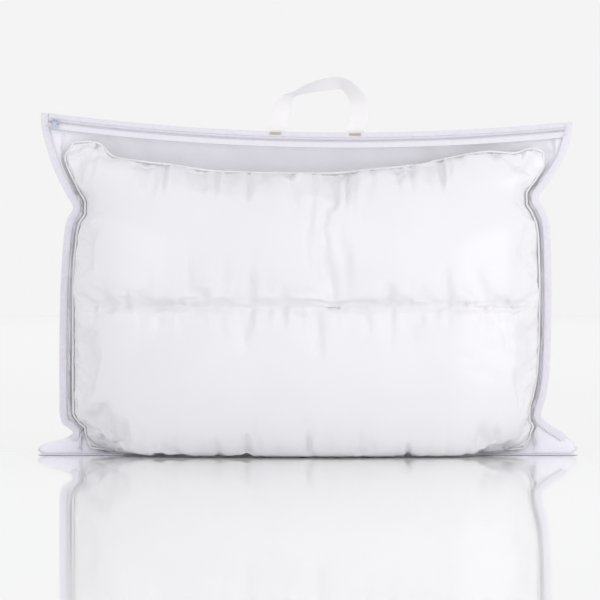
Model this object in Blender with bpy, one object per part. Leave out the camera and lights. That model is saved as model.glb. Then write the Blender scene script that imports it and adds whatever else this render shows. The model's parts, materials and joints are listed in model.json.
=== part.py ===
"""A bed pillow zipped into a clear carry bag that stands on its bottom seam.

Metres, +Z up, front towards -Y, origin on the floor under the middle of the bag.
The bag's zip line sags in a shallow arc, so its slider turns about that arc's distant centre.
Across the zip band, positions are (d, n): d runs up the band, n runs out of its front face.
"""

import math

import bmesh
import bpy
from mathutils import Matrix, Vector

# ---- Pillow ----
PILLOW_HEIGHT = 0.388           # bottom seam's floor clearance to the middle of the top seam
PILLOW_THICKNESS = 0.192
PILLOW_CORNER_RISE = 0.016      # how far the top corners stand above the middle of the top edge
PILLOW_CORNER_RADIUS = 0.030
PILLOW_BASE = 0.0030            # underside of the pillow above the floor
CENTRE_SEAM_HEIGHT = 0.204
CENTRE_SEAM_DEPTH = 0.004
CENTRE_SEAM_RUN = 0.030          # below the seam, where the face starts to draw in
BOTTOM_CORNER_RISE = 0.004      # the bottom corners above the middle of the bottom seam
TICKING_WALL = 0.0005
PIPING_RADIUS = 0.0019
SEAM_THREAD = 0.0008

# ---- Bag body ----
BODY_HALF_WIDTH = 0.339
FILM_ROOM = 0.006               # pillow's face to the bag's outer face, front and back
EAR_FLARE = 0.032               # each bottom corner beyond the body
TOP_FLARE = 0.026               # each top corner beyond the body
CROWN_ARC = math.radians(60)    # how far the panels' tops round over before they meet the band
PINCH = 0.017                   # how far the sides draw in above and below the pillow
PINCH_BELOW_BAND = 0.085        # the upper pinch to the foot of the zip band
PINCH_RUN = 0.040               # the height over which a side draws in to the upper pinch
FLARE_RUN = 0.030               # the top flare's start below the zip band
EAR_HEIGHT = 0.030
EAR_RUN = 0.030                 # the lower pinch to the full body width
EAR_TOE = 0.004                 # a bottom corner's upright tip ends here
EAR_SHOULDER = 0.010
BAND_BEND = 0.004               # the height over which a side seam takes the band's lean
BELLY_LOW = 0.110               # heights between which the bag is at its full depth
BELLY_HIGH = 0.230
CONTACT_HALF_DEPTH = 0.045      # the stretch of each panel that lies on the floor
FILM_WALL = 0.0004
BACKING_WALL = 0.0005
# ---- Zip band ----
ZIP_RADIUS = 3.160
ZIP_LOW_X = 0.055
HEADROOM = 0.044                # pillow's top to the lowest point of the zip line
BAND_TILT = math.radians(30)
TAPE_WALL = 0.0005
TAPE_LAP = 0.005                # lower tape over the film's top edge
TOP_BINDING_WIDTH = 0.009
COIL_HALF_HEIGHT = 0.0020
COIL_DEPTH = 0.0018
COIL_SLOT = 0.0012              # between the two coil halves
SLIDER_LENGTH = 0.010
SLIDER_PLATE = 0.0008
SLIDER_LIP = 0.0008
PARK_INSET = 0.001              # parked slider to the side binding
BRIDGE_BAR = 0.0010
BRIDGE_HALF_LENGTH = 0.0030
PULL_AXIS_RISE = 0.0024         # the bridge bar's middle above the slider's front plate
PULL_RING_WIDTH = 0.0014
PULL_WIDTH = 0.0070
PULL_LENGTH = 0.0170
PULL_WALL = 0.0012

# ---- Bindings ----
BINDING_WIDTH = 0.010
BINDING_WALL = 0.0005
BINDING_MARGIN = 0.001          # binding's inner edge to where the panels start to bulge
BASE_TAPE_WIDTH = 0.018
BASE_TAPE_WALL = 0.0010
THREAD_HEIGHT = 0.0004
THREAD_WIDTH = 0.0006
STITCH_SHARE = 0.62             # the stitch row's place across a side binding

# ---- Handle ----
HANDLE_LEFT_X = -0.045
HANDLE_RIGHT_X = 0.065
HANDLE_RISE = 0.069
STRAP_WIDTH = 0.025
STRAP_WALL = 0.0012
STRAP_FOOT_DROP = 0.0085
STRAP_TWIST = math.radians(55)
BARTACK_WIDTH = 0.016
BARTACK_HEIGHT = 0.006

# ---- Fits ----
GAP = 0.0004                    # between touching soft pieces
SLIDER_CLEARANCE = 0.0012       # slider's edge to the top binding
FILL_CLEARANCE = 0.0015         # filling to the inside of the ticking
HINGE_CLEARANCE = 0.0030        # strap's bend above the top binding
PILLOW_ROOM = 0.0035            # piping to the inside of the bag

# ---- Mesh fineness ----
LENS_COLUMNS = 17
EDGE_POWER = 10                 # how late a row bends towards its height on the side seam
QUARTER_STEPS = 5
BAND_STEPS = 40

BAG_DEPTH = PILLOW_THICKNESS + 2 * FILM_ROOM
SEAM_ALLOWANCE = BINDING_WIDTH + BINDING_MARGIN
SLIDER_HALF_HEIGHT = COIL_SLOT / 2 + COIL_HALF_HEIGHT + GAP + SLIDER_LIP

# Places across the zip band, measured up it from the chain's middle.
BINDING_FOOT = SLIDER_HALF_HEIGHT + SLIDER_CLEARANCE
BINDING_CREST = BINDING_FOOT + TOP_BINDING_WIDTH
FILM_TOP = BINDING_FOOT + BINDING_MARGIN    # the film's top edge and the tape's edge are below it
TAPE_EDGE = FILM_TOP + TAPE_LAP

# Layers of the zip band, measured out of its front face from the tapes' middle.
LAYER_FRONT = TAPE_WALL / 2 + GAP
FILM_LAYER = -(TAPE_WALL / 2 + GAP)
BACKING_LAYER = FILM_LAYER - SLIDER_PLATE - GAP
REAR_LAYER = BACKING_LAYER - BACKING_WALL - GAP
FOOT_LAYER = REAR_LAYER - BINDING_WALL - GAP
PLATE_FRONT = LAYER_FRONT + COIL_DEPTH + GAP + SLIDER_PLATE
PULL_AXIS_N = PLATE_FRONT + PULL_AXIS_RISE

# The pull's ring round the bridge's square bar.
PULL_RING_RADIUS = PULL_AXIS_RISE - GAP
PULL_HOLE_RADIUS = BRIDGE_BAR / math.sqrt(2) + GAP

BAND_UP = Vector((0, math.sin(BAND_TILT), math.cos(BAND_TILT)))
BAND_FRONT = Vector((0, -math.cos(BAND_TILT), math.sin(BAND_TILT)))

ZIP_LOW_HEIGHT = PILLOW_HEIGHT + HEADROOM
SEAM_Y = (FILM_LAYER - FILM_WALL + BACKING_LAYER) / 2
CHAIN_Y = SEAM_Y + TAPE_EDGE * math.sin(BAND_TILT)
BAND_START = ZIP_LOW_HEIGHT - TAPE_EDGE * math.cos(BAND_TILT)
BAND_TOP = ZIP_LOW_HEIGHT + BINDING_CREST * math.cos(BAND_TILT)
TOP_CORNER_X = BODY_HALF_WIDTH + TOP_FLARE


# ---- Helpers ----

def smoothstep(low, high, value):
    """0 below low, 1 above high, and an S-curve between."""
    t = min(max((value - low) / (high - low), 0), 1)
    return t * t * (3 - 2 * t)


def through(points, value):
    """A smooth curve's height at value, through (place, height) points in rising order."""
    places = [p for p, _ in points]
    heights = [h for _, h in points]
    if value <= places[0]:
        return heights[0]
    if value >= places[-1]:
        return heights[-1]
    k = max(i for i, place in enumerate(places[:-1]) if place <= value)
    span = places[k + 1] - places[k]

    def slope(i):
        low, high = max(i - 1, 0), min(i + 1, len(points) - 1)
        return (heights[high] - heights[low]) / (places[high] - places[low])

    t = (value - places[k]) / span
    rise = heights[k + 1] - heights[k]
    cubic = slope(k) * span + slope(k + 1) * span - 2 * rise
    square = rise - cubic - slope(k) * span
    return heights[k] + t * (slope(k) * span + t * (square + t * cubic))


def add_object(name, mesh, material):
    mesh.materials.append(material)
    obj = bpy.data.objects.new(name, mesh)
    bpy.context.scene.collection.objects.link(obj)
    return obj


def material(name, colour, roughness, metallic=0.0, alpha=1.0):
    made = bpy.data.materials.new(name)
    made.use_nodes = True
    shader = made.node_tree.nodes["Principled BSDF"]
    shader.inputs["Base Color"].default_value = (*colour, 1)
    shader.inputs["Roughness"].default_value = roughness
    shader.inputs["Metallic"].default_value = metallic
    shader.inputs["Alpha"].default_value = alpha
    return made


def mesh_from(name, points, faces, smooth=True):
    mesh = bpy.data.meshes.new(name)
    mesh.from_pydata([tuple(p) for p in points], [], faces)
    bm = bmesh.new()
    bm.from_mesh(mesh)
    bmesh.ops.recalc_face_normals(bm, faces=bm.faces)
    bm.to_mesh(mesh)
    bm.free()
    if smooth:
        mesh.shade_smooth()
        mesh.set_sharp_from_angle(angle=math.radians(40))
    return mesh


def grid_faces(columns, rows, flip=False):
    """Two triangles a cell, split the same way everywhere so that nested sheets stay nested."""
    faces = []
    for j in range(rows - 1):
        for i in range(columns - 1):
            a = j * columns + i
            b, c, d = a + 1, a + columns + 1, a + columns
            if i < (columns - 1) // 2:
                pair = [(a, b, c), (a, c, d)]
            else:
                pair = [(a, b, d), (b, c, d)]
            faces += [face[::-1] for face in pair] if flip else pair
    return faces


def edge_walk(columns, rows):
    """The grid's border points, in order round it."""
    walk = list(range(columns))
    walk += [j * columns + columns - 1 for j in range(1, rows)]
    walk += [(rows - 1) * columns + i for i in range(columns - 2, -1, -1)]
    return walk + [j * columns for j in range(rows - 2, 0, -1)]


def sheet(name, rows, wall, look, back):
    """A sheet of even thickness whose outer face is the grid of rows."""
    columns = len(rows[0])
    points = [point for row in rows for point in row]
    mesh = bpy.data.meshes.new(name)
    mesh.from_pydata([tuple(p) for p in points], [], grid_faces(columns, len(rows), flip=back))
    mesh.shade_smooth()
    obj = add_object(name, mesh, look)
    thicken = obj.modifiers.new("wall", "SOLIDIFY")
    thicken.thickness = wall
    thicken.offset = -1
    thicken.use_even_offset = True
    return obj


def sweep(name, stations, section, look, smooth=True, loop=False):
    """A closed solid: the section's (a, b) points carried along stations of (centre, a axis, b axis)."""
    count = len(section)
    points = [centre + a * p + b * q for centre, a, b in stations for p, q in section]
    links = [(k, (k + 1) % len(stations)) for k in range(len(stations) - (0 if loop else 1))]
    faces = [
        (k * count + i, k * count + (i + 1) % count, m * count + (i + 1) % count, m * count + i)
        for k, m in links for i in range(count)
    ]
    if not loop:
        faces += [tuple(range(count)), tuple(len(points) - count + i for i in range(count))]
    return add_object(name, mesh_from(name, points, faces, smooth), look)


def box_mesh(name, low, high):
    corners = [(x, y, z) for x in (low[0], high[0]) for y in (low[1], high[1]) for z in (low[2], high[2])]
    faces = [(0, 1, 3, 2), (4, 6, 7, 5), (0, 4, 5, 1), (2, 3, 7, 6), (0, 2, 6, 4), (1, 5, 7, 3)]
    return mesh_from(name, corners, faces, smooth=False)


def rectangle(a_low, a_high, b_low, b_high):
    return [(a_low, b_low), (a_high, b_low), (a_high, b_high), (a_low, b_high)]


def join(target, others):
    """Fuses the other objects' solids into the target."""
    for other in others:
        other.hide_render = True
        other.display_type = "WIRE"
        fuse = target.modifiers.new(f"join {other.name}", "BOOLEAN")
        fuse.operation = "UNION"
        fuse.object = other


# ---- Outlines ----

def zip_height(x):
    return ZIP_LOW_HEIGHT + ZIP_RADIUS - math.sqrt(ZIP_RADIUS**2 - (x - ZIP_LOW_X) ** 2)


def lifted(x, z):
    """A nominal height z, raised near the top to follow the zip line's arc."""
    return z + (zip_height(x) - ZIP_LOW_HEIGHT) * smoothstep(BELLY_HIGH, BAND_START, z)


def seam_half_width(z):
    """Half-width of the bag's flat outline: wide ears at the floor, body, pinch, wide top."""
    pinch_height = BAND_START - PINCH_BELOW_BAND
    body_low = EAR_HEIGHT + EAR_RUN
    outline = [
        (EAR_TOE, BODY_HALF_WIDTH + EAR_FLARE),
        (EAR_SHOULDER, BODY_HALF_WIDTH + EAR_FLARE * 0.9),
        (EAR_HEIGHT * 0.6, BODY_HALF_WIDTH + EAR_FLARE * 0.35),
        (EAR_HEIGHT, BODY_HALF_WIDTH - PINCH * 0.8),
        (body_low, BODY_HALF_WIDTH),
        (BELLY_HIGH, BODY_HALF_WIDTH),
        (pinch_height - PINCH_RUN, BODY_HALF_WIDTH - PINCH * 0.5),
        (pinch_height, BODY_HALF_WIDTH - PINCH),
        (BAND_START - FLARE_RUN, BODY_HALF_WIDTH + TOP_FLARE * 0.55),
        (BAND_START, BODY_HALF_WIDTH + TOP_FLARE * 0.95),
        (BAND_TOP, TOP_CORNER_X),
    ]
    return through(outline, z)


def lens_half_width(z):
    """Half-width of the part of a panel that bulges, inside the flat seam and the flat corners."""
    narrowest = min(seam_half_width(z + step * SEAM_ALLOWANCE / 2) for step in (-1, 0, 1))
    waist = BODY_HALF_WIDTH - PINCH * (1 - smoothstep(EAR_HEIGHT, 2 * EAR_HEIGHT, z))
    return min(narrowest, waist) - SEAM_ALLOWANCE


def seam_y(z):
    """The side seam's place in depth: upright, then leaning back with the zip band."""
    return SEAM_Y + max(0, z - BAND_START) * math.tan(BAND_TILT)


def layer_shift(z):
    """Depth shift for one unit of n, at the side seam's nominal height z."""
    return 1 / math.cos(BAND_TILT * smoothstep(BAND_START - BAND_BEND, BAND_START, z))


def rounded(start, end, steps, rising, sweep_angle=math.pi / 2):
    """Points on an ellipse's arc from start to end, both (depth, height), without its start."""
    points = []
    for k in range(1, steps + 1):
        turn = sweep_angle * k / steps
        level = math.sin(turn) / math.sin(sweep_angle)
        bend = (1 - math.cos(turn)) / (1 - math.cos(sweep_angle))
        shares = (level, bend) if rising else (bend, level)
        points.append(tuple(s + (e - s) * f for s, e, f in zip(start, end, shares)))
    return points


def edge_heights(profile, low, high):
    """Heights at the side edge for the profile's points, shared out by length along the profile."""
    steps = [math.dist(a, b) for a, b in zip(profile, profile[1:])]
    total = sum(steps)
    return [low + (high - low) * sum(steps[:k]) / total for k in range(len(profile))]


def lens_fractions():
    """(across, depth) fractions of the columns over one panel's bulge, left to right."""
    fractions = []
    for i in range(LENS_COLUMNS):
        turn = math.pi * (i / (LENS_COLUMNS - 1) - 0.5)
        fractions.append((math.sin(turn), max(math.cos(turn), 0) ** 0.85))
    return fractions


# ---- Pillow ----

def pillow_half_width(z, inset):
    widest = lens_half_width(z) - PILLOW_ROOM - 2 * PIPING_RADIUS - GAP
    low = 1 - smoothstep(0, PILLOW_CORNER_RADIUS, z - PILLOW_BASE)
    high = 1 - smoothstep(0, PILLOW_CORNER_RADIUS, PILLOW_HEIGHT + PILLOW_CORNER_RISE - z)
    return widest - PILLOW_CORNER_RADIUS * (0.3 * low + 0.6 * high) - inset


def pillow_profile(inset):
    """(depth, height) points from the bottom seam round the front to the top seam."""
    depth = PILLOW_THICKNESS / 2 - inset
    seam = PIPING_RADIUS * 2 + PILLOW_BASE
    flat = CONTACT_HALF_DEPTH - inset
    waist = depth - CENTRE_SEAM_DEPTH
    top = PILLOW_HEIGHT - 2 * PIPING_RADIUS - inset
    profile = [(0, seam + inset), (flat / 2, PILLOW_BASE + inset), (flat, PILLOW_BASE + inset)]
    profile += rounded(profile[-1], (depth, BELLY_LOW), QUARTER_STEPS, rising=True)
    draw_in = CENTRE_SEAM_HEIGHT - CENTRE_SEAM_RUN
    profile += [(depth, draw_in), (waist, CENTRE_SEAM_HEIGHT), (depth, BELLY_HIGH)]
    return profile + rounded(profile[-1], (0, top), QUARTER_STEPS + 1, rising=False)


def pillow_rows(inset, half_gap, side):
    """Rows of points over one face of the pillow; side is -1 for the front and 1 for the back."""
    profile = pillow_profile(inset)
    top = profile[-1][1] + PILLOW_CORNER_RISE
    edges = edge_heights(profile, profile[0][1] + BOTTOM_CORNER_RISE, top)
    rows = []
    for (depth, height), edge in zip(profile, edges):
        row = []
        for across, fullness in lens_fractions():
            z = height + (edge - height) * abs(across) ** EDGE_POWER
            x = across * pillow_half_width(edge, inset)
            row.append(Vector((x, side * (half_gap + depth * fullness), lifted(x, z))))
        rows.append(row)
    return rows


def fibre_fill(look):
    inset = TICKING_WALL + FILL_CLEARANCE
    front = pillow_rows(inset, 0, -1)
    back = pillow_rows(inset, 0, 1)
    columns, rows = len(front[0]), len(front)
    points = [p for row in front for p in row]
    rim = set(edge_walk(columns, rows))
    place = {}
    for k, point in enumerate(p for row in back for p in row):
        if k in rim:
            place[k] = k
        else:
            place[k] = len(points)
            points.append(point)
    faces = grid_faces(columns, rows)
    faces += [tuple(place[k] for k in face) for face in grid_faces(columns, rows, flip=True)]
    add_object("fibre_fill", mesh_from("fibre_fill", points, faces), look)


def ticking(look):
    half_gap = TICKING_WALL + GAP
    sheet("ticking_front", pillow_rows(0, half_gap, -1), TICKING_WALL, look, back=False)
    sheet("ticking_back", pillow_rows(0, half_gap, 1), TICKING_WALL, look, back=True)


def pillow_rim():
    """The pillow's edge as a loop of points in the plane between its two faces."""
    rows = pillow_rows(0, 0, -1)
    points = [p for row in rows for p in row]
    return [Vector((points[k].x, 0, points[k].z)) for k in edge_walk(len(rows[0]), len(rows))]


def edge_piping(look):
    rim = pillow_rim()
    out = PIPING_RADIUS + GAP
    middle = sum(rim, Vector()) / len(rim)
    stations = []
    for k, point in enumerate(rim):
        along = (rim[(k + 1) % len(rim)] - rim[k - 1]).normalized()
        outward = Vector((along.z, 0, -along.x))
        if outward.dot(point - middle) < 0:
            outward.negate()
        stations.append((point + outward * out, outward, Vector((0, 1, 0))))
    ring = [
        (PIPING_RADIUS * math.cos(math.tau * k / 6), PIPING_RADIUS * math.sin(math.tau * k / 6))
        for k in range(6)
    ]
    sweep("edge_piping", stations, ring, look, loop=True)


def centre_seam_thread(look):
    """The stitched row that draws in the pillow's front along its middle."""
    heights = [height for _, height in pillow_profile(0)]
    row = pillow_rows(0, TICKING_WALL + GAP, -1)[heights.index(CENTRE_SEAM_HEIGHT)]
    stations = [(p, Vector((0, 0, 1)), Vector((0, -1, 0))) for p in row[2:-2]]
    near, far = 2 * GAP, 2 * GAP + SEAM_THREAD
    half = SEAM_THREAD / 2
    sweep("centre_seam_thread", stations, rectangle(-half, half, near, far), look, smooth=False)


# ---- Bag panels ----

def panel_profile():
    """(depth, height) of a bag panel's outer face, from the bottom seam up to full depth."""
    tape_top = BASE_TAPE_WALL + GAP
    contact = BASE_TAPE_WIDTH / 2 + BASE_TAPE_WALL
    profile = [(GAP, tape_top), (BASE_TAPE_WIDTH / 2 + GAP, tape_top)]
    steps = 4
    for k in range(steps + 1):
        depth = contact + 5 * BASE_TAPE_WALL + (CONTACT_HALF_DEPTH - contact) * k / steps
        profile.append((depth, 0))
    profile += rounded(profile[-1], (BAG_DEPTH / 2, BELLY_LOW), QUARTER_STEPS, rising=True)
    return profile + [(BAG_DEPTH / 2, (BELLY_LOW + BELLY_HIGH) / 2), (BAG_DEPTH / 2, BELLY_HIGH)]


def seam_heights():
    """Nominal heights up the side seam at which both panels and the binding have a row."""
    profile = panel_profile()
    profile += rounded(profile[-1], (0, BAND_START), QUARTER_STEPS + 1, rising=False)
    return edge_heights(profile, profile[0][1], BAND_START)


def panel_rows(side, layer, top_d, band_rows):
    """Rows over the front (side -1) or back (side 1) panel, up to top_d across the zip band."""
    top = Vector((0, CHAIN_Y, ZIP_LOW_HEIGHT)) + BAND_UP * top_d + BAND_FRONT * layer
    edges = seam_heights()
    if top_d > -TAPE_EDGE:
        edges.append(top.z)
    profile = panel_profile()
    steps = len(edges) - len(profile)
    profile += rounded(profile[-1], (side * top.y, top.z), steps, rising=False, sweep_angle=CROWN_ARC)
    fractions = lens_fractions()
    rows = []
    for (depth, height), edge in zip(profile, edges):
        rim_y = seam_y(edge) - layer * layer_shift(edge)
        bulge = side * depth - rim_y
        seam_x = seam_half_width(edge)
        lens_x = lens_half_width(edge)
        row = [Vector((-seam_x, rim_y, lifted(-seam_x, edge)))]
        for across, fullness in fractions:
            z = height + (edge - height) * abs(across) ** EDGE_POWER
            x = across * lens_x
            row.append(Vector((x, rim_y + bulge * fullness, lifted(x, z))))
        row.append(Vector((seam_x, rim_y, lifted(seam_x, edge))))
        rows.append(row)
    for d in band_rows:
        offset = BAND_UP * d + BAND_FRONT * layer
        edge = ZIP_LOW_HEIGHT + d * BAND_UP.z
        seam_x = seam_half_width(edge)
        spread = [-seam_x, *(a * lens_half_width(edge) for a, _ in fractions), seam_x]
        rows.append([Vector((x, CHAIN_Y, zip_height(x))) + offset for x in spread])
    return rows


def panels(film, backing):
    front = panel_rows(-1, FILM_LAYER, -TAPE_EDGE, [-FILM_TOP])
    sheet("front_window", front, FILM_WALL, film, back=False)
    crest = BINDING_CREST - BINDING_WALL - GAP
    mouth = BINDING_FOOT - 3 * GAP
    back = panel_rows(1, BACKING_LAYER - BACKING_WALL, mouth, [BINDING_FOOT + GAP, crest])
    sheet("back_panel", back, BACKING_WALL, backing, back=True)


# ---- Zip ----

def band_stations(x_low, x_high):
    stations = []
    for k in range(BAND_STEPS + 1):
        x = x_low + (x_high - x_low) * k / BAND_STEPS
        stations.append((Vector((x, CHAIN_Y, zip_height(x))), BAND_UP, BAND_FRONT))
    return stations


def band_end(d):
    """How far the band runs to each side inside the side bindings, at height d across it."""
    return seam_half_width(ZIP_LOW_HEIGHT + d * BAND_UP.z) - BINDING_WALL - GAP


def chain_end():
    return band_end(0) - BINDING_WIDTH


def zip_tapes(look):
    inner = COIL_SLOT / 2 + GAP / 4
    half = TAPE_WALL / 2
    end = band_end(-TAPE_EDGE) - GAP
    crest = BINDING_CREST - BINDING_WALL - GAP
    upper = rectangle(inner, crest, -half, half)
    lower = rectangle(-TAPE_EDGE, -inner, -half, half)
    sweep("zip_tape_upper", band_stations(-end, end), upper, look, smooth=False)
    sweep("zip_tape_lower", band_stations(-end, end), lower, look, smooth=False)


def zip_coils(look):
    near, far = LAYER_FRONT, LAYER_FRONT + COIL_DEPTH
    inner = COIL_SLOT / 2
    outer = inner + COIL_HALF_HEIGHT
    end = chain_end()
    for name, low, high in (("zip_coil_upper", inner, outer), ("zip_coil_lower", -outer, -inner)):
        sweep(name, band_stations(-end, end), rectangle(low, high, near, far), look, smooth=False)


def slider_frame():
    """Where the parked slider stands: its arc's centre, and its own frame along, up and out."""
    park_x = -chain_end() + PARK_INSET + SLIDER_LENGTH / 2
    turn = math.asin((park_x - ZIP_LOW_X) / ZIP_RADIUS)
    centre = Vector((ZIP_LOW_X, CHAIN_Y, ZIP_LOW_HEIGHT + ZIP_RADIUS))
    along = Vector((math.cos(turn), 0, math.sin(turn)))
    radial = Vector((-math.sin(turn), 0, math.cos(turn)))
    up = radial * math.cos(BAND_TILT) + Vector((0, math.sin(BAND_TILT), 0))
    out = radial * math.sin(BAND_TILT) - Vector((0, math.cos(BAND_TILT), 0))
    return centre, centre - radial * ZIP_RADIUS, along, up, out


def place_in_frame(mesh, origin, along, up, out):
    """Takes a mesh drawn in (along, up, out) to its place, with its own origin at origin."""
    turn = Matrix((along, up, out)).transposed().to_4x4()
    mesh.transform(Matrix.Translation(origin) @ turn)
    bm = bmesh.new()
    bm.from_mesh(mesh)
    bmesh.ops.recalc_face_normals(bm, faces=bm.faces)
    bm.to_mesh(mesh)
    bm.free()


def zip_slider(look, pivot):
    """Two plates round the chain, joined by a thin post between the coil halves, with a pull bridge."""
    side = SLIDER_HALF_HEIGHT
    lip = side - SLIDER_LIP
    post = COIL_SLOT / 2 - GAP * 0.75
    plate_back = PLATE_FRONT - SLIDER_PLATE
    rear = -(TAPE_WALL / 2 + GAP)
    lip_foot = TAPE_WALL / 2 + GAP
    right = [
        (side, rear - SLIDER_PLATE), (side, rear), (post, rear), (post, plate_back),
        (lip, plate_back), (lip, lip_foot), (side, lip_foot), (side, PLATE_FRONT),
    ]
    outline = right + [(-d, n) for d, n in reversed(right)]
    half = SLIDER_LENGTH / 2
    ends = [(Vector((t, 0, 0)), Vector((0, 1, 0)), Vector((0, 0, 1))) for t in (-half, half)]
    slider = sweep("zip_slider", ends, outline, look, smooth=False)
    bar = BRIDGE_BAR / 2
    reach = BRIDGE_HALF_LENGTH
    bridge = sweep(
        "bridge", [(Vector((0, d, 0)), Vector((1, 0, 0)), Vector((0, 0, 1))) for d in (-bar, bar)],
        [
            (-reach, PLATE_FRONT - bar), (-reach, PULL_AXIS_N + bar), (reach, PULL_AXIS_N + bar),
            (reach, PLATE_FRONT - bar), (reach - BRIDGE_BAR, PLATE_FRONT - bar),
            (reach - BRIDGE_BAR, PULL_AXIS_N - bar), (BRIDGE_BAR - reach, PULL_AXIS_N - bar),
            (BRIDGE_BAR - reach, PLATE_FRONT - bar),
        ], look, smooth=False,
    )
    _, place, along, up, out = slider_frame()
    for obj in (slider, bridge):
        place_in_frame(obj.data, place - pivot.location, along, up, out)
        obj.parent = pivot
    join(slider, [bridge])


def zip_pull(look, pivot):
    """A flat tab whose ring hangs on the slider's bridge."""
    sides = 12
    half = PULL_RING_WIDTH / 2
    points, faces = [], []
    for t in (-half, half):
        for radius in (PULL_HOLE_RADIUS, PULL_RING_RADIUS):
            for k in range(sides):
                turn = math.tau * k / sides
                points.append(Vector((t, radius * math.cos(turn), radius * math.sin(turn))))
    for k in range(sides):
        m = (k + 1) % sides
        near, far = 0, 2 * sides
        faces.append((near + k, near + m, near + sides + m, near + sides + k))
        faces.append((far + k, far + m, far + sides + m, far + sides + k))
        faces.append((near + k, near + m, far + m, far + k))
        faces.append((near + sides + k, near + sides + m, far + sides + m, far + sides + k))
    ring = add_object("zip_pull_tab", mesh_from("zip_pull_tab", points, faces, smooth=False), look)
    wall = PULL_WALL / 2
    start = -(PULL_HOLE_RADIUS + PULL_RING_RADIUS) / 2
    shoulder = -PULL_RING_RADIUS - 2 * GAP
    slim = 0.8
    neck = box_mesh("neck", (-half * slim, shoulder - GAP, -wall * slim), (half * slim, start, wall * slim))
    plate = box_mesh("plate", (-PULL_WIDTH / 2, -PULL_LENGTH, -wall), (PULL_WIDTH / 2, shoulder, wall))
    extras = [add_object("neck", neck, look), add_object("plate", plate, look)]
    _, place, along, up, out = slider_frame()
    axis = place + out * PULL_AXIS_N
    for obj in (ring, *extras):
        place_in_frame(obj.data, axis - pivot.location, along, up, out)
        obj.parent = pivot
    join(ring, extras)


# ---- Bindings and their stitching ----

def side_path(sign):
    """Stations up one side seam: place, inward axis, front axis."""
    heights = [z for z in seam_heights() if z > EAR_HEIGHT * 0.5]
    heights += [BAND_START + (BAND_TOP - BAND_START) * k / 3 for k in (1, 2, 3)]
    spots = []
    for z in heights:
        x = sign * seam_half_width(z)
        spots.append(Vector((x, seam_y(z), lifted(x, z))))
    stations = []
    for k, (z, place) in enumerate(zip(heights, spots)):
        along = spots[min(k + 1, len(spots) - 1)] - spots[max(k - 1, 0)]
        if z >= BAND_START:
            along = Vector((ZIP_LOW_X - place.x, 0, ZIP_RADIUS))
        inward = Vector((-sign * along.z, 0, sign * along.x)).normalized()
        stations.append((place, inward, Vector((0, -layer_shift(z), 0))))
    return stations


def folded(width, crest=0.0):
    """A tape folded round an edge: crest is the fold's outer place and the legs run to width."""
    front, rear = LAYER_FRONT + BINDING_WALL, REAR_LAYER - BINDING_WALL
    fold = crest + BINDING_WALL
    return [
        (crest, rear), (crest, front), (width, front), (width, LAYER_FRONT),
        (fold, LAYER_FRONT), (fold, REAR_LAYER), (width, REAR_LAYER), (width, rear),
    ]


def stitch_row(inset):
    near = LAYER_FRONT + BINDING_WALL + GAP
    half = THREAD_WIDTH / 2
    return rectangle(inset - half, inset + half, near, near + THREAD_HEIGHT)


def bindings(look, thread):
    outside = -(BINDING_WALL + GAP)
    for name, sign in (("left", -1), ("right", 1)):
        path = side_path(sign)
        section = folded(BINDING_WIDTH + outside, outside)
        sweep(f"binding_{name}", path, section, look, smooth=False)
        sweep(f"thread_{name}", path[1:-1], stitch_row(BINDING_WIDTH * STITCH_SHARE), thread, smooth=False)
    end = band_end(BINDING_FOOT) - BINDING_WIDTH - GAP
    top = [(BINDING_CREST - d, n) for d, n in folded(BINDING_CREST - BINDING_FOOT)]
    sweep("binding_top", band_stations(-end, end), top, look, smooth=False)
    row = [(BINDING_FOOT + d, n) for d, n in stitch_row(THREAD_WIDTH * 3)]
    sweep("thread_top", band_stations(-end + GAP, end - GAP), row, thread, smooth=False)


def window_thread(thread):
    """The row that sews the lower zip tape to the film."""
    near = TAPE_WALL / 2 + GAP
    d = -(TAPE_EDGE + FILM_TOP) / 2
    end = band_end(d) - BINDING_WIDTH - GAP
    half = THREAD_WIDTH / 2
    row = rectangle(d - half, d + half, near, near + THREAD_HEIGHT)
    sweep("thread_window", band_stations(-end, end), row, thread, smooth=False)


def binding_bottom(look):
    """The bottom seam's tape, pressed flat under the bag; it is what the bag stands on."""
    half_length = BODY_HALF_WIDTH + EAR_FLARE
    half_width = BASE_TAPE_WIDTH / 2
    corner = half_width * 0.8
    outline = []
    steps = 4
    for sx, sy, start in ((1, -1, -90), (1, 1, 0), (-1, 1, 90), (-1, -1, 180)):
        for k in range(steps + 1):
            turn = math.radians(start + 90 * k / steps)
            x = sx * (half_length - corner) + corner * math.cos(turn)
            outline.append((x, sy * (half_width - corner) + corner * math.sin(turn)))
    ends = [(Vector((0, 0, z)), Vector((1, 0, 0)), Vector((0, 1, 0))) for z in (0, BASE_TAPE_WALL)]
    sweep("binding_bottom", ends, outline, look, smooth=False)


# ---- Handle ----

def band_point(x, d, n):
    return Vector((x, CHAIN_Y, zip_height(x))) + BAND_UP * d + BAND_FRONT * n


def handle_pivot_point():
    middle = (HANDLE_LEFT_X + HANDLE_RIGHT_X) / 2
    highest = max(band_point(x, BINDING_CREST, FOOT_LAYER).z for x in (HANDLE_LEFT_X, HANDLE_RIGHT_X))
    place = band_point(middle, BINDING_CREST, FOOT_LAYER - STRAP_WALL / 2)
    return Vector((middle, place.y, highest + HINGE_CLEARANCE))


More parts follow.
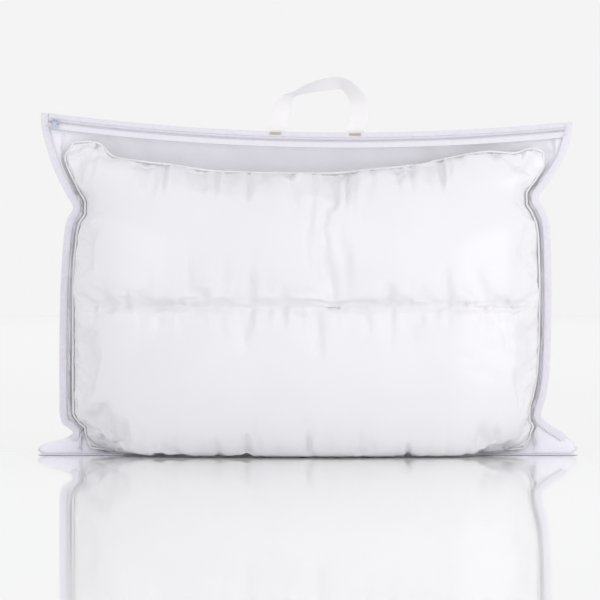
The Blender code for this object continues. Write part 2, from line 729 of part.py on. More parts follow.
def handle_strap(look, pivot):
    """A strap that stands up from two feet, turning edge-on as it crosses over."""
    span = HANDLE_RIGHT_X - HANDLE_LEFT_X
    left, right = -span / 2, span / 2
    route = [
        (left, 0), (left + 0.04 * span, 0.30 * HANDLE_RISE), (left + 0.17 * span, 0.66 * HANDLE_RISE),
        (left + 0.44 * span, 0.90 * HANDLE_RISE), (left + 0.74 * span, HANDLE_RISE),
        (left + 0.97 * span, 0.78 * HANDLE_RISE), (right + 0.03 * span, 0.36 * HANDLE_RISE), (right, 0),
    ]
    steps = 24
    places = []
    for k in range(steps + 1):
        t = (len(route) - 1) * k / steps
        x = through([(i, p[0]) for i, p in enumerate(route)], t)
        z = through([(i, p[1]) for i, p in enumerate(route)], t)
        places.append(Vector((x, 0, z)))
    stations = []
    for k, place in enumerate(places):
        if k in (0, steps):
            along = Vector((0, 0, 1 if k == 0 else -1))
        else:
            along = (places[k + 1] - places[k - 1]).normalized()
        across = Vector((along.z, 0, -along.x))
        turn = STRAP_TWIST * math.sin(math.pi * k / steps) ** 0.7
        width = across * math.cos(turn) + Vector((0, 1, 0)) * math.sin(turn)
        stations.append((place, width, width.cross(along)))
    half, wall = STRAP_WIDTH / 2, STRAP_WALL / 2
    strap = sweep("handle_strap", stations, rectangle(-half, half, -wall, wall), look)
    strap.location = pivot


def handle_feet(look, thread):
    """The strap's sewn ends behind the top binding, and the bar tacks that hold them, in front."""
    d_low, d_high = BINDING_CREST - STRAP_FOOT_DROP, BINDING_CREST + HINGE_CLEARANCE / 2
    tack_n = LAYER_FRONT + BINDING_WALL + GAP
    middle = (BINDING_FOOT + THREAD_WIDTH * 4 + BINDING_CREST) / 2
    for name, x in (("left", HANDLE_LEFT_X), ("right", HANDLE_RIGHT_X)):
        for kind, width, low, high, near, far, colour in (
            ("foot", STRAP_WIDTH, d_low, d_high, FOOT_LAYER - STRAP_WALL, FOOT_LAYER, look),
            ("stitch", BARTACK_WIDTH, middle - BARTACK_HEIGHT / 2, middle + BARTACK_HEIGHT / 2,
             tack_n, tack_n + THREAD_HEIGHT, thread),
        ):
            stations = [
                (Vector((x + s * width / 2, CHAIN_Y, zip_height(x + s * width / 2))), BAND_UP, BAND_FRONT)
                for s in (-1, 0, 1)
            ]
            section = rectangle(low, high, near, far)
            sweep(f"handle_{kind}_{name}", stations, section, colour, smooth=False)


def joint_empty(name, place):
    empty = bpy.data.objects.new(name, None)
    empty.location = place
    bpy.context.scene.collection.objects.link(empty)
    return empty


def build():
    for obj in list(bpy.data.objects):
        bpy.data.objects.remove(obj)
    cotton = material("white cotton ticking", (0.86, 0.86, 0.88), 0.9)
    film = material("clear vinyl film", (0.95, 0.95, 0.98), 0.08, alpha=0.2)
    nonwoven = material("white non-woven", (0.72, 0.71, 0.78), 0.9)
    tape = material("white binding tape", (0.70, 0.69, 0.72), 0.8)
    plastic = material("white zip coil", (0.78, 0.77, 0.82), 0.4)
    enamel = material("grey enamelled slider", (0.52, 0.53, 0.56), 0.35, metallic=0.6)
    webbing = material("white webbing", (0.78, 0.77, 0.78), 0.85)
    thread = material("white thread", (0.80, 0.79, 0.78), 0.7)
    beige = material("beige thread", (0.72, 0.65, 0.52), 0.7)
    fibre = material("polyester fibre", (0.90, 0.90, 0.90), 0.95)

    fibre_fill(fibre)
    ticking(cotton)
    edge_piping(cotton)
    centre_seam_thread(thread)
    panels(film, nonwoven)
    zip_tapes(tape)
    zip_coils(plastic)
    arc_centre, park, _, _, out = slider_frame()
    zip_slider(enamel, joint_empty("zip_arc_centre", arc_centre))
    zip_pull(enamel, joint_empty("pull_axis", park + out * PULL_AXIS_N))
    bindings(tape, thread)
    window_thread(thread)
    binding_bottom(tape)
    handle_strap(webbing, handle_pivot_point())
    handle_feet(webbing, beige)


build()
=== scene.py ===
"""A bed pillow in a clear carry bag: the soft surfaces, seams, stitching and finishes.

Metres, +Z up, front towards -Y. The zip band is laid out as (d, n): d up the band, n out of its front.
"""
import math

import bmesh
import bpy
import numpy as np
from mathutils import Matrix, Vector
from mathutils.bvhtree import BVHTree
from mathutils.noise import noise
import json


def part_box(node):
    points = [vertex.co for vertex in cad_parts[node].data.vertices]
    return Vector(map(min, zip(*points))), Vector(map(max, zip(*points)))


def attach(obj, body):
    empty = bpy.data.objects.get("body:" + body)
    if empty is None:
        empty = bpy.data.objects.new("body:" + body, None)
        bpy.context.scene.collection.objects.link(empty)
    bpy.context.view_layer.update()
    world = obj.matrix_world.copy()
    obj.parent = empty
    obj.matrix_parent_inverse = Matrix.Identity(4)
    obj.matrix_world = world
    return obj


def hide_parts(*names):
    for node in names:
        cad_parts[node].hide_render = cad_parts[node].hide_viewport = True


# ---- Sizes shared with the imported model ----
ZIP_RADIUS = 3.160              # the zip line is an arc of this radius
ZIP_LOW_X = 0.055
ZIP_LOW = 0.432                 # height of the arc's lowest point
LEAN = math.radians(30)         # the band leans back this far
CHAIN_Y = 0.00405
SEAM_Y = -0.00145               # plane of the side seams below the band
BINDING_FOOT = 0.005
BINDING_CREST = 0.014
FILM_TOP = 0.006
TAPE_EDGE = 0.011
BAND_START = ZIP_LOW - TAPE_EDGE * math.cos(LEAN)
BAND_TOP = ZIP_LOW + BINDING_CREST * math.cos(LEAN)
BAG_HALF_DEPTH = 0.102
BELLY_LOW = 0.110
BELLY_HIGH = 0.230
BASE_HALF_WIDTH = 0.009
BASE_TAPE = 0.0010
CROWN_ARC = math.radians(60)
BINDING_WIDTH = 0.010
SEAM_ALLOWANCE = 0.011
EAR_HEIGHT = 0.030
GAP = 0.0004
PILLOW_HALF_DEPTH = 0.096
PILLOW_TOP = 0.3842
PILLOW_BASE = 0.0030
CENTRE_SEAM = 0.204
HANDLE_LEFT = -0.045
HANDLE_RIGHT = 0.065
STRAP_WIDTH = 0.025
STRAP_WALL = 0.0012
SLIDER_LENGTH = 0.010

# Layers of the band, out of its front face.
TAPE_FACE = 0.00025
COIL_FAR = 0.00245
FILM_LAYER = -0.00065
BACKING_LAYER = -0.00235
BINDING_FRONT = 0.00065
BINDING_REAR = -0.00275
BINDING_WALL = 0.0005
FOOT_LAYER = -0.00365
PLATE_FRONT = COIL_FAR + GAP + 0.0008
PULL_AXIS = PLATE_FRONT + 0.0024
BINDING_FACE = BINDING_FRONT + BINDING_WALL

# ---- Sizes of the soft pieces alone ----
CONTACT = 0.072                 # the filling settles: each panel lies on the floor out to here, 0.050 in the model
DEEPEST_CREASE = 0.0085
SWELL = 0.007                   # how much the pillow's faces are left slim, for the cloth to fill
BACKING_TOP = BINDING_FOOT - 0.0012
TAPE_GAP = 0.0006               # from the chain's middle to each half of the zip tape
LEAN_EASE = 0.004               # the flat seam turns into the leaning band over this height
THREAD_STAND = 0.0002           # how far a thread's middle stands off the cloth
CLEARANCE = 0.0020              # between a panel and what lies inside it
FULLNESS = 0.85                 # how squarely a panel bulges across: 1 is a half-round, less is fuller
EDGE_ANGLE = 50                 # degrees; a sharper turn than this stays an edge
TUCK = 0.0006                   # how far the top binding runs in under each side binding
PILLOW_ROOM = 0.0032            # from the pillow's surface to the bag's wall, where it swells against it
PIPING_RADIUS = 0.0015
GROOVE_DEPTH = 0.0055           # how far the middle seam sinks into the filling
GROOVE_WIDTH = 0.0048
EAR_TIP = 0.371                 # half the length of the bottom seam
SOFT_BED = 0.0004               # a panel lies this far above the table

# (height, half-width) down each side of the bag, tip of the ear to the top corner.
LEFT_SIDE = [
    (0.000, 0.364), (0.007, 0.372), (0.015, 0.362), (0.023, 0.334), (0.031, 0.322), (0.045, 0.338),
    (0.080, 0.341), (0.220, 0.340), (0.300, 0.335), (0.326, 0.330), (0.341, 0.322), (0.358, 0.331),
    (0.389, 0.347), (0.422, 0.359), (0.450, 0.366), (0.480, 0.368),
]
# (x, height) of the pillow's sewn top edge: a lobe at each corner and a shallow dip between them.
PILLOW_TOP_EDGE = [
    (-0.336, 0.424), (-0.318, 0.429), (-0.288, 0.427), (-0.270, 0.410), (-0.235, 0.403), (-0.190, 0.398),
    (-0.127, 0.389), (0.030, 0.386), (0.085, 0.391), (0.154, 0.398), (0.195, 0.407), (0.245, 0.416),
    (0.285, 0.414), (0.308, 0.420), (0.330, 0.412),
]
RIGHT_SIDE = [
    (0.000, 0.362), (0.009, 0.371), (0.017, 0.365), (0.030, 0.350), (0.041, 0.332), (0.053, 0.320),
    (0.078, 0.326), (0.110, 0.331), (0.190, 0.334), (0.290, 0.333), (0.324, 0.330), (0.341, 0.323),
    (0.355, 0.316), (0.372, 0.328), (0.404, 0.349), (0.438, 0.361), (0.462, 0.365),
]
BLANK = (0.70, 0.50)            # the pillow's own cloth, flat

# ---- Fineness ----
COLUMNS = 149
ROW_SPACING = 0.0044
STITCH_PITCH = 0.0036
COIL_PITCH = 0.0016


# ---- Curves and outlines ----

def smooth(low, high, value):
    t = np.clip((np.asarray(value, float) - low) / (high - low), 0, 1)
    return t * t * (3 - 2 * t)


def through(points, at):
    """A smooth curve through (place, value) points in rising order, read at many places."""
    places = np.array([p for p, _ in points])
    values = np.array([v for _, v in points])
    slopes = np.empty(len(points))
    slopes[1:-1] = (values[2:] - values[:-2]) / (places[2:] - places[:-2])
    slopes[0] = (values[1] - values[0]) / (places[1] - places[0])
    slopes[-1] = (values[-1] - values[-2]) / (places[-1] - places[-2])
    at = np.clip(np.asarray(at, float), places[0], places[-1])
    k = np.clip(np.searchsorted(places, at, side="right") - 1, 0, len(points) - 2)
    span = places[k + 1] - places[k]
    t = (at - places[k]) / span
    start = (1 + 2 * t) * (1 - t) ** 2 * values[k] + t * (1 - t) ** 2 * span * slopes[k]
    end = t * t * (3 - 2 * t) * values[k + 1] + t * t * (t - 1) * span * slopes[k + 1]
    return start + end


def chain_height(x):
    return ZIP_LOW + ZIP_RADIUS - np.sqrt(ZIP_RADIUS**2 - (np.asarray(x) - ZIP_LOW_X) ** 2)


def lifted(x, z):
    """A height on the flat pattern, raised near the top to follow the zip line."""
    return z + (chain_height(x) - ZIP_LOW) * smooth(BELLY_HIGH, BAND_START, z)


def band(x, d, n):
    x, d, n = np.broadcast_arrays(np.asarray(x, float), d, n)
    y = CHAIN_Y + d * math.sin(LEAN) - n * math.cos(LEAN)
    z = chain_height(x) + d * math.cos(LEAN) + n * math.sin(LEAN)
    return np.stack([x, y, z], axis=-1)


def side_x(sign, z):
    """The bag's edge at pattern height z; sign is -1 on the left and 1 on the right."""
    height = lifted(sign * 0.34, np.asarray(z, float))
    return sign * through(LEFT_SIDE if sign < 0 else RIGHT_SIDE, height)


def seam_plane(z):
    return SEAM_Y + np.maximum(0, np.asarray(z) - BAND_START) * math.tan(LEAN)


def lean_stretch(z):
    """How much thicker a layer is when it is measured straight back through the leaning band."""
    return 1 / np.cos(LEAN * smooth(BAND_START - LEAN_EASE, BAND_START, z))


def spread(columns):
    """Columns crowded towards the sides: each one's place across, from -1 to 1, and its share of the depth."""
    turn = np.linspace(-math.pi / 2, math.pi / 2, columns)
    return np.sin(turn)[None, :], (np.maximum(np.cos(turn), 0) ** FULLNESS)[None, :]


def noise_at(places, scale, shift=(0, 0, 0)):
    """Smooth noise at many places, read after scaling and shifting them."""
    return np.array([noise(Vector(place)) for place in places * np.array(scale) + np.array(shift)])


def bulge_edge(sign, z):
    """Where a panel starts to swell, inside its flat seam and flat corners."""
    reach = np.array([-0.5, 0, 0.5]) * SEAM_ALLOWANCE
    narrow = np.min([np.abs(side_x(sign, z + step)) for step in reach], axis=0)
    waist = 0.339 - 0.017 * (1 - smooth(EAR_HEIGHT, 2 * EAR_HEIGHT, z)) + 0.012 * smooth(0.34, 0.39, z)
    return np.minimum(narrow, waist) - SEAM_ALLOWANCE


def arc_between(start, end, rising, angle=math.pi / 2, steps=40):
    """Points on an ellipse's arc in (depth, height), without its start."""
    turn = angle * np.arange(1, steps + 1) / steps
    level = np.sin(turn) / math.sin(angle)
    bend = (1 - np.cos(turn)) / (1 - math.cos(angle))
    shares = (level, bend) if rising else (bend, level)
    return [(start[0] + (end[0] - start[0]) * a, start[1] + (end[1] - start[1]) * b) for a, b in zip(*shares)]


def evenly(profile, spacing):
    """(share, depth, height) at even steps along a profile."""
    line = np.array(profile)
    length = np.concatenate([[0], np.cumsum(np.hypot(*np.diff(line, axis=0).T))])
    at = np.linspace(0, length[-1], int(length[-1] / spacing) + 1)
    return at / length[-1], np.interp(at, length, line[:, 0]), np.interp(at, length, line[:, 1])


# ---- Mesh making ----

def new_piece(name, mesh):
    piece = bpy.data.objects.new(name, mesh)
    bpy.context.scene.collection.objects.link(piece)
    return piece


def sheet_faces(rows, columns):
    """The quads of a sheet whose points run row by row."""
    corner = (np.arange(rows - 1)[:, None] * columns + np.arange(columns - 1)).ravel()
    return np.stack([corner, corner + 1, corner + columns + 1, corner + columns], axis=1)


def grid_piece(name, grid, flat, flip=False):
    """A quad sheet from rows of points, with its flat size in metres as its UV map."""
    faces = sheet_faces(*grid.shape[:2])
    if flip:
        faces = faces[:, ::-1]
    mesh = bpy.data.meshes.new(name)
    mesh.from_pydata(grid.reshape(-1, 3).tolist(), [], faces.tolist())
    wide = np.linalg.norm(np.diff(grid, axis=1), axis=2).mean(axis=0)
    long = np.linalg.norm(np.diff(grid, axis=0), axis=2).mean(axis=1)
    wide, long = (np.concatenate([[0], np.cumsum(steps)]) for steps in (wide, long))
    across, down = np.meshgrid(wide / wide[-1] * flat[0], long / long[-1] * flat[1])
    places = np.stack([across.ravel(), down.ravel()], axis=1)
    layer = mesh.uv_layers.new(name="cloth")
    corners = np.array([loop.vertex_index for loop in mesh.loops])
    layer.data.foreach_set("uv", places[corners].ravel())
    mesh.shade_smooth()
    return new_piece(name, mesh)


def swept_piece(name, rings, look, closed_path=False):
    """A closed solid from rings of points, with length and girth in metres as its UV map."""
    rings = np.asarray(rings, float)
    count, around = rings.shape[:2]
    mesh = bpy.data.meshes.new(name)
    faces, uvs = [], []
    girth = np.concatenate([[0], np.cumsum(np.linalg.norm(np.roll(rings[0], -1, 0) - rings[0], axis=1))])
    step = np.linalg.norm(np.diff(rings.mean(axis=1), axis=0), axis=1)
    run = np.concatenate([[0], np.cumsum(step), [step.sum() + step.mean()]])
    for k in range(count if closed_path else count - 1):
        m = (k + 1) % count
        for i in range(around):
            j = (i + 1) % around
            faces.append((k * around + i, k * around + j, m * around + j, m * around + i))
            uvs += [(girth[i], run[k]), (girth[i + 1], run[k]), (girth[i + 1], run[k + 1]), (girth[i], run[k + 1])]
    if not closed_path:
        for k, order in ((0, range(around - 1, -1, -1)), (count - 1, range(around))):
            faces.append(tuple(k * around + i for i in order))
            uvs += [(girth[i], run[k]) for i in order]
    mesh.from_pydata(rings.reshape(-1, 3).tolist(), [], faces)
    layer = mesh.uv_layers.new(name="cloth")
    layer.data.foreach_set("uv", np.array(uvs).ravel())
    made = bmesh.new()
    made.from_mesh(mesh)
    bmesh.ops.recalc_face_normals(made, faces=made.faces)
    made.to_mesh(mesh)
    made.free()
    mesh.shade_smooth()
    mesh.set_sharp_from_angle(angle=math.radians(EDGE_ANGLE))
    mesh.materials.append(look)
    return new_piece(name, mesh)


def points_of(piece):
    places = np.empty(len(piece.data.vertices) * 3)
    piece.data.vertices.foreach_get("co", places)
    return places.reshape(-1, 3)


def set_points(piece, places):
    piece.data.vertices.foreach_set("co", np.asarray(places, float).ravel())
    piece.data.update()


def finished(piece):
    """Applies every modifier, so that the piece is a plain mesh."""
    graph = bpy.context.evaluated_depsgraph_get()
    mesh = bpy.data.meshes.new_from_object(piece.evaluated_get(graph), depsgraph=graph)
    piece.modifiers.clear()
    piece.data = mesh
    return piece


def thickened(piece, wall):
    thicken = piece.modifiers.new("wall", "SOLIDIFY")
    thicken.thickness = wall
    thicken.offset = -1.0
    thicken.use_even_offset = False
    return finished(piece)


def settle(piece, held, growth, pressure, frames, bending, most):
    """Lets cut cloth, a little larger than its seams, gather and swell; most caps any point's move."""
    start = points_of(piece)
    group = piece.vertex_groups.new(name="held")
    group.add([int(i) for i in held], 1.0, "REPLACE")
    cloth = piece.modifiers.new("settle", "CLOTH")
    settings = cloth.settings
    for name, value in {
        "quality": 5, "mass": 0.2, "tension_stiffness": 25, "compression_stiffness": 25, "shear_stiffness": 12,
        "bending_stiffness": bending, "tension_damping": 12, "compression_damping": 12, "air_damping": 3,
        "vertex_group_mass": "held", "shrink_min": -growth, "use_pressure": True,
        "uniform_pressure_force": pressure,
    }.items():
        setattr(settings, name, value)
    settings.effector_weights.gravity = 0
    scene = bpy.context.scene
    for frame_number in range(1, frames + 1):
        scene.frame_set(frame_number)
    graph = bpy.context.evaluated_depsgraph_get()
    moved = np.empty(len(start) * 3)
    piece.evaluated_get(graph).data.vertices.foreach_get("co", moved)
    piece.modifiers.remove(cloth)
    piece.vertex_groups.remove(group)
    scene.frame_set(1)
    move = moved.reshape(-1, 3) - start
    far = np.linalg.norm(move, axis=1, keepdims=True)
    set_points(piece, start + move * np.minimum(1, most / np.maximum(far, 1e-9)))


# ---- Finishes ----

def linear(colour):
    """An sRGB hex colour as the linear RGBA that shaders take."""
    parts = [int(colour[k:k + 2], 16) / 255 for k in (1, 3, 5)]
    return (*(p / 12.92 if p <= 0.04045 else ((p + 0.055) / 1.055) ** 2.4 for p in parts), 1)


def add_node(tree, kind, inputs=None, **settings):
    """Adds a node with its settings; an input is a value or another node's output."""
    made = tree.nodes.new(kind)
    for name, value in settings.items():
        setattr(made, name, value)
    for key, value in (inputs or {}).items():
        if isinstance(value, bpy.types.NodeSocket):
            tree.links.new(value, made.inputs[key])
        else:
            made.inputs[key].default_value = value
    return made


def finish_named(name, colour, roughness, **sockets):
    """A material with a Principled shader: colour and roughness, and any other socket by name."""
    made = bpy.data.materials.new(name)
    made.use_nodes = True
    shader = made.node_tree.nodes["Principled BSDF"]
    shader.inputs["Base Color"].default_value = linear(colour)
    shader.inputs["Roughness"].default_value = roughness
    for key, value in sockets.items():
        shader.inputs[key.replace("_", " ")].default_value = value
    return made, made.node_tree, shader


def cloth_places(tree):
    return add_node(tree, "ShaderNodeUVMap", uv_map="cloth").outputs["UV"]


def object_places(tree):
    return add_node(tree, "ShaderNodeTexCoord").outputs["Object"]


def threads(tree, places, pitch, direction):
    """Evenly spaced thread crowns, pitch metres apart."""
    wave = add_node(
        tree, "ShaderNodeTexWave", {"Vector": places, "Scale": math.tau / pitch / 20},
        wave_type="BANDS", bands_direction=direction, wave_profile="SIN",
    )
    return wave.outputs["Fac"]


def maths(tree, operation, a, b):
    return add_node(tree, "ShaderNodeMath", {0: a, 1: b}, operation=operation).outputs[0]


def raised(tree, shader, height, depth, strength=1.0, below=None):
    """Feeds a height pattern, depth metres from low to high, into the shader's normal."""
    inputs = {"Height": height, "Distance": depth, "Strength": strength}
    if below is not None:
        inputs["Normal"] = below
    bump = add_node(tree, "ShaderNodeBump", inputs)
    tree.links.new(bump.outputs["Normal"], shader.inputs["Normal"])
    return bump.outputs["Normal"]


def shaded(tree, shader, fac, low, high):
    """Colours the surface between two shades by a pattern."""
    mix = add_node(tree, "ShaderNodeMix", data_type="RGBA")
    tree.links.new(fac, mix.inputs["Factor"])
    mix.inputs["A"].default_value = linear(low)
    mix.inputs["B"].default_value = linear(high)
    tree.links.new(mix.outputs["Result"], shader.inputs["Base Color"])


def cotton_ticking():
    """Close plain-woven cotton, calendered: a soft white with a faint sheen where it turns away."""
    look, tree, shader = finish_named(
        "cotton ticking, plain-woven and calendered", "#ECEBEC", 0.78,
        Sheen_Weight=0.25, Sheen_Roughness=0.45, Specular_IOR_Level=0.3,
    )
    places = cloth_places(tree)
    # Real threads lie 0.25 mm apart; they are drawn at 0.8 mm so that they show at all.
    warp = threads(tree, places, 0.0008, "X")
    weft = threads(tree, places, 0.0008, "Y")
    slub = add_node(tree, "ShaderNodeTexNoise", {"Vector": places, "Scale": 900.0, "Detail": 2.0})
    weave = maths(tree, "MULTIPLY", maths(tree, "ADD", warp, weft), slub.outputs["Fac"])
    fine = raised(tree, shader, weave, 0.00006, 0.5)
    soft = add_node(tree, "ShaderNodeTexNoise", {"Vector": places, "Scale": 38.0, "Detail": 4.0, "Roughness": 0.55})
    raised(tree, shader, soft.outputs["Fac"], 0.0012, 0.35, below=fine)
    lint = add_node(tree, "ShaderNodeTexNoise", {"Vector": places, "Scale": 9.0, "Detail": 3.0})
    shaded(tree, shader, lint.outputs["Fac"], "#E8E7E8", "#EFEEEE")
    return look


def clear_film():
    """Calendered PVC film: almost invisible face on, a bright mirror where it turns away, a slight haze."""
    look, tree, shader = finish_named(
        "PVC film, calendered clear", "#F7F7FA", 0.11,
        Specular_IOR_Level=0.6, Coat_Weight=0.8, Coat_IOR=2.2, Coat_Roughness=0.11,
    )
    places = cloth_places(tree)
    ripple = add_node(tree, "ShaderNodeTexNoise", {"Vector": places, "Scale": 14.0, "Detail": 2.0, "Distortion": 0.6})
    crease = add_node(tree, "ShaderNodeTexNoise", {"Vector": places, "Scale": 60.0, "Detail": 3.0, "Distortion": 1.2})
    broad = raised(tree, shader, ripple.outputs["Fac"], 0.003, 0.35)
    normal = raised(tree, shader, crease.outputs["Fac"], 0.0007, 0.4, below=broad)
    # Facing treats both walls of the film alike; to the fifth power it climbs as a real surface's glare does.
    facing = add_node(tree, "ShaderNodeLayerWeight", {"Blend": 0.5, "Normal": normal})
    rim = maths(tree, "POWER", facing.outputs["Facing"], 5.0)
    share = add_node(tree, "ShaderNodeMapRange", {"Value": rim, "From Max": 1.0, "To Min": 0.05, "To Max": 0.45})
    clear = add_node(tree, "ShaderNodeBsdfTransparent", {"Color": linear("#FEFEFF")})
    mix = add_node(tree, "ShaderNodeMixShader", {0: share.outputs[0], 1: clear.outputs[0], 2: shader.outputs[0]})
    tree.links.new(mix.outputs[0], tree.nodes["Material Output"].inputs["Surface"])
    return look


def spunbonded_backing():
    """Spun-bonded polypropylene: matt lavender white, stamped all over with small bond points."""
    look, tree, shader = finish_named(
        "polypropylene non-woven, spun-bonded and point-embossed", "#EFEDF8", 0.85, Specular_IOR_Level=0.25,
        Subsurface_Weight=0.5, Subsurface_Scale=0.003, Subsurface_Radius=(1.0, 1.0, 1.0),
    )
    places = cloth_places(tree)
    turned = add_node(tree, "ShaderNodeMapping", {"Vector": places, "Rotation": (0, 0, math.radians(45))})
    # Bond points every 2.4 mm on the diagonal.
    across = threads(tree, turned.outputs[0], 0.0024, "X")
    along = threads(tree, turned.outputs[0], 0.0024, "Y")
    points = maths(tree, "POWER", maths(tree, "MULTIPLY", across, along), 2.0)
    fibres = add_node(tree, "ShaderNodeTexNoise", {"Vector": places, "Scale": 700.0, "Detail": 3.0, "Roughness": 0.7})
    stamped = raised(tree, shader, maths(tree, "SUBTRACT", 1.0, points), 0.00022, 0.7)
    raised(tree, shader, fibres.outputs["Fac"], 0.00012, 0.4, below=stamped)
    cloud = add_node(tree, "ShaderNodeTexNoise", {"Vector": places, "Scale": 30.0, "Detail": 4.0})
    shaded(tree, shader, cloud.outputs["Fac"], "#ECEAF6", "#F8F7FD")
    return look


def ribbed_tape(name, low, high, pitch, depth, roughness):
    """A narrow woven tape: crosswise ribs with a lengthwise warp between them."""
    look, tree, shader = finish_named(name, high, roughness, Sheen_Weight=0.15, Specular_IOR_Level=0.3)
    places = cloth_places(tree)
    ribs = threads(tree, places, pitch, "Y")
    warp = threads(tree, places, pitch * 0.7, "X")
    weave = maths(tree, "ADD", ribs, maths(tree, "MULTIPLY", warp, 0.5))
    wear = add_node(tree, "ShaderNodeTexNoise", {"Vector": places, "Scale": 160.0, "Detail": 3.0})
    raised(tree, shader, weave, depth, 0.8)
    # Painted shade: the colour follows the weave, darker between the ribs and lighter on their crowns; the wear noise
    # adds random blotches on top.
    shaded(tree, shader, maths(tree, "MULTIPLY", weave, wear.outputs["Fac"]), low, high)
    return look


def strap_webbing():
    """Polypropylene webbing: a herringbone of flat yarns, slightly glossy, with painted highlight on their crowns and
    painted shade between them.
    """
    look, tree, shader = finish_named("polypropylene webbing, herringbone-woven", "#FAF9FB", 0.55, Sheen_Weight=0.1)
    places = cloth_places(tree)
    # Yarns 1.6 mm apart, leaning one way and then the other across each 6 mm rib.
    split = add_node(tree, "ShaderNodeSeparateXYZ", {0: places})
    fold = maths(tree, "PINGPONG", split.outputs[0], 0.003)
    slant = add_node(tree, "ShaderNodeCombineXYZ", {0: fold, 1: split.outputs[1]})
    turned = add_node(tree, "ShaderNodeMapping", {"Vector": slant.outputs[0], "Rotation": (0, 0, math.radians(40))})
    yarns = threads(tree, turned.outputs[0], 0.0016, "Y")
    raised(tree, shader, yarns, 0.0003, 0.8)
    # Painted highlight and shade: the colour follows the yarns, lighter on their crowns and darker in the grooves
    # between them.
    shaded(tree, shader, yarns, "#E9E7EA", "#FCFBFC")
    return look


def coil_nylon():
    """Nylon monofilament, drawn and heat-set into a coil: smooth, a little translucent, small bright glints."""
    look, tree, shader = finish_named(
        "nylon monofilament, drawn and coiled", "#F0EEF5", 0.32, IOR=1.53,
    )
    streak = add_node(tree, "ShaderNodeTexNoise", {"Vector": object_places(tree), "Scale": 350.0, "Detail": 1.0})
    raised(tree, shader, streak.outputs["Fac"], 0.00008, 0.4)
    shaded(tree, shader, streak.outputs["Fac"], "#E5E3EE", "#F5F4F9")
    return look


def spun_thread(name, low, high):
    """Spun polyester sewing thread: two plies laid in a twist, dull."""
    look, tree, shader = finish_named(name, high, 0.65, Sheen_Weight=0.2)
    places = add_node(tree, "ShaderNodeMapping", {"Vector": object_places(tree), "Rotation": (0.5, 0.6, 0.7)})
    twist = threads(tree, places.outputs[0], 0.0007, "X")
    raised(tree, shader, twist, 0.00012, 0.7)
    # Painted shade: the colour follows the twist, darker in the groove between the plies and lighter on their crowns.
    shaded(tree, shader, twist, low, high)
    return look


def slider_enamel():
    """Zinc casting, sprayed with pale blue-grey enamel: smooth with a faint orange peel, worn at its edges."""
    look, tree, shader = finish_named("zinc die-casting, sprayed enamel", "#B9C0D0", 0.28, Coat_Weight=0.4)
    places = object_places(tree)
    peel = add_node(tree, "ShaderNodeTexNoise", {"Vector": places, "Scale": 1400.0, "Detail": 2.0})
    raised(tree, shader, peel.outputs["Fac"], 0.00003, 0.5)
    wear = add_node(tree, "ShaderNodeTexNoise", {"Vector": places, "Scale": 420.0, "Detail": 4.0})
    shaded(tree, shader, wear.outputs["Fac"], "#A3ABC0", "#CBD1DE")
    return look


def glossy_table():
    """Cast white acrylic: bright, level and polished enough to mirror what stands on it."""
    look, tree, shader = finish_named("acrylic sheet, cast and polished", "#F7F7F8", 0.035, Specular_IOR_Level=0.9)
    haze = add_node(tree, "ShaderNodeTexNoise", {"Vector": object_places(tree), "Scale": 3.0, "Detail": 2.0})
    gloss = add_node(tree, "ShaderNodeMapRange", {"Value": haze.outputs["Fac"], "To Min": 0.03, "To Max": 0.06})
    tree.links.new(gloss.outputs[0], shader.inputs["Roughness"])
    return look


# ---- Pillow ----

def pillow_half(sign, z):
    """Half-width of the pillow at pattern height z, with its corners rounded in."""
    widest = bulge_edge(sign, z) - 0.0060
    low = 1 - smooth(0, 0.030, z - PILLOW_BASE)
    high = 1 - smooth(0, 0.022, 0.402 - z)
    return widest - 0.030 * (0.3 * low + 0.35 * high)


def pillow_profile():
    depth = PILLOW_HALF_DEPTH - SWELL
    seam = PILLOW_BASE + 0.0038
    points = [(0, seam), (0.022, PILLOW_BASE), (CONTACT - 0.005, PILLOW_BASE)]
    points += arc_between(points[-1], (depth, BELLY_LOW), rising=True)
    points += [(depth, CENTRE_SEAM - 0.045), (depth - 0.002, CENTRE_SEAM - 0.018)]
    points += [(depth - 0.007, CENTRE_SEAM), (depth - 0.002, CENTRE_SEAM + 0.016), (depth, BELLY_HIGH + 0.012)]
    return points + arc_between(points[-1], (0, PILLOW_TOP), rising=False)


def pillow_grid(side, columns=151):
    share, depth, height = evenly(pillow_profile(), ROW_SPACING)
    edge = height[0] + 0.004 + (PILLOW_TOP + 0.017 - height[0] - 0.004) * share
    across, fullness = spread(columns)
    fullness[0, [0, -1]] = 0
    z = height[:, None] + (edge - height)[:, None] * np.abs(across) ** 9
    half = np.where(across < 0, pillow_half(-1, edge)[:, None], pillow_half(1, edge)[:, None])
    x = across * half
    y = side * depth[:, None] * fullness
    z = lifted(x, z)
    z += (through(PILLOW_TOP_EDGE, x[-1]) - z[-1])[None, :] * smooth(0.74, 1.0, share)[:, None]
    return np.stack([x, y, z], axis=-1)


def bag_wall(side):
    """The inside of the bag on one side, as a tree for rays."""
    layer, top_d = (FILM_LAYER, -TAPE_EDGE) if side < 0 else (BACKING_LAYER, BACKING_TOP)
    grid = panel_grid(side, layer, top_d, [])
    return BVHTree.FromPolygons(grid.reshape(-1, 3).tolist(), sheet_faces(*grid.shape[:2]).tolist())


def eased(value, limit, give):
    """value, held below limit, with the last few millimetres (give) squeezed rather than cut."""
    over = np.maximum(value - (limit - give), 0)
    return np.where(value > limit - give, limit - give + give * np.tanh(over / give), value)


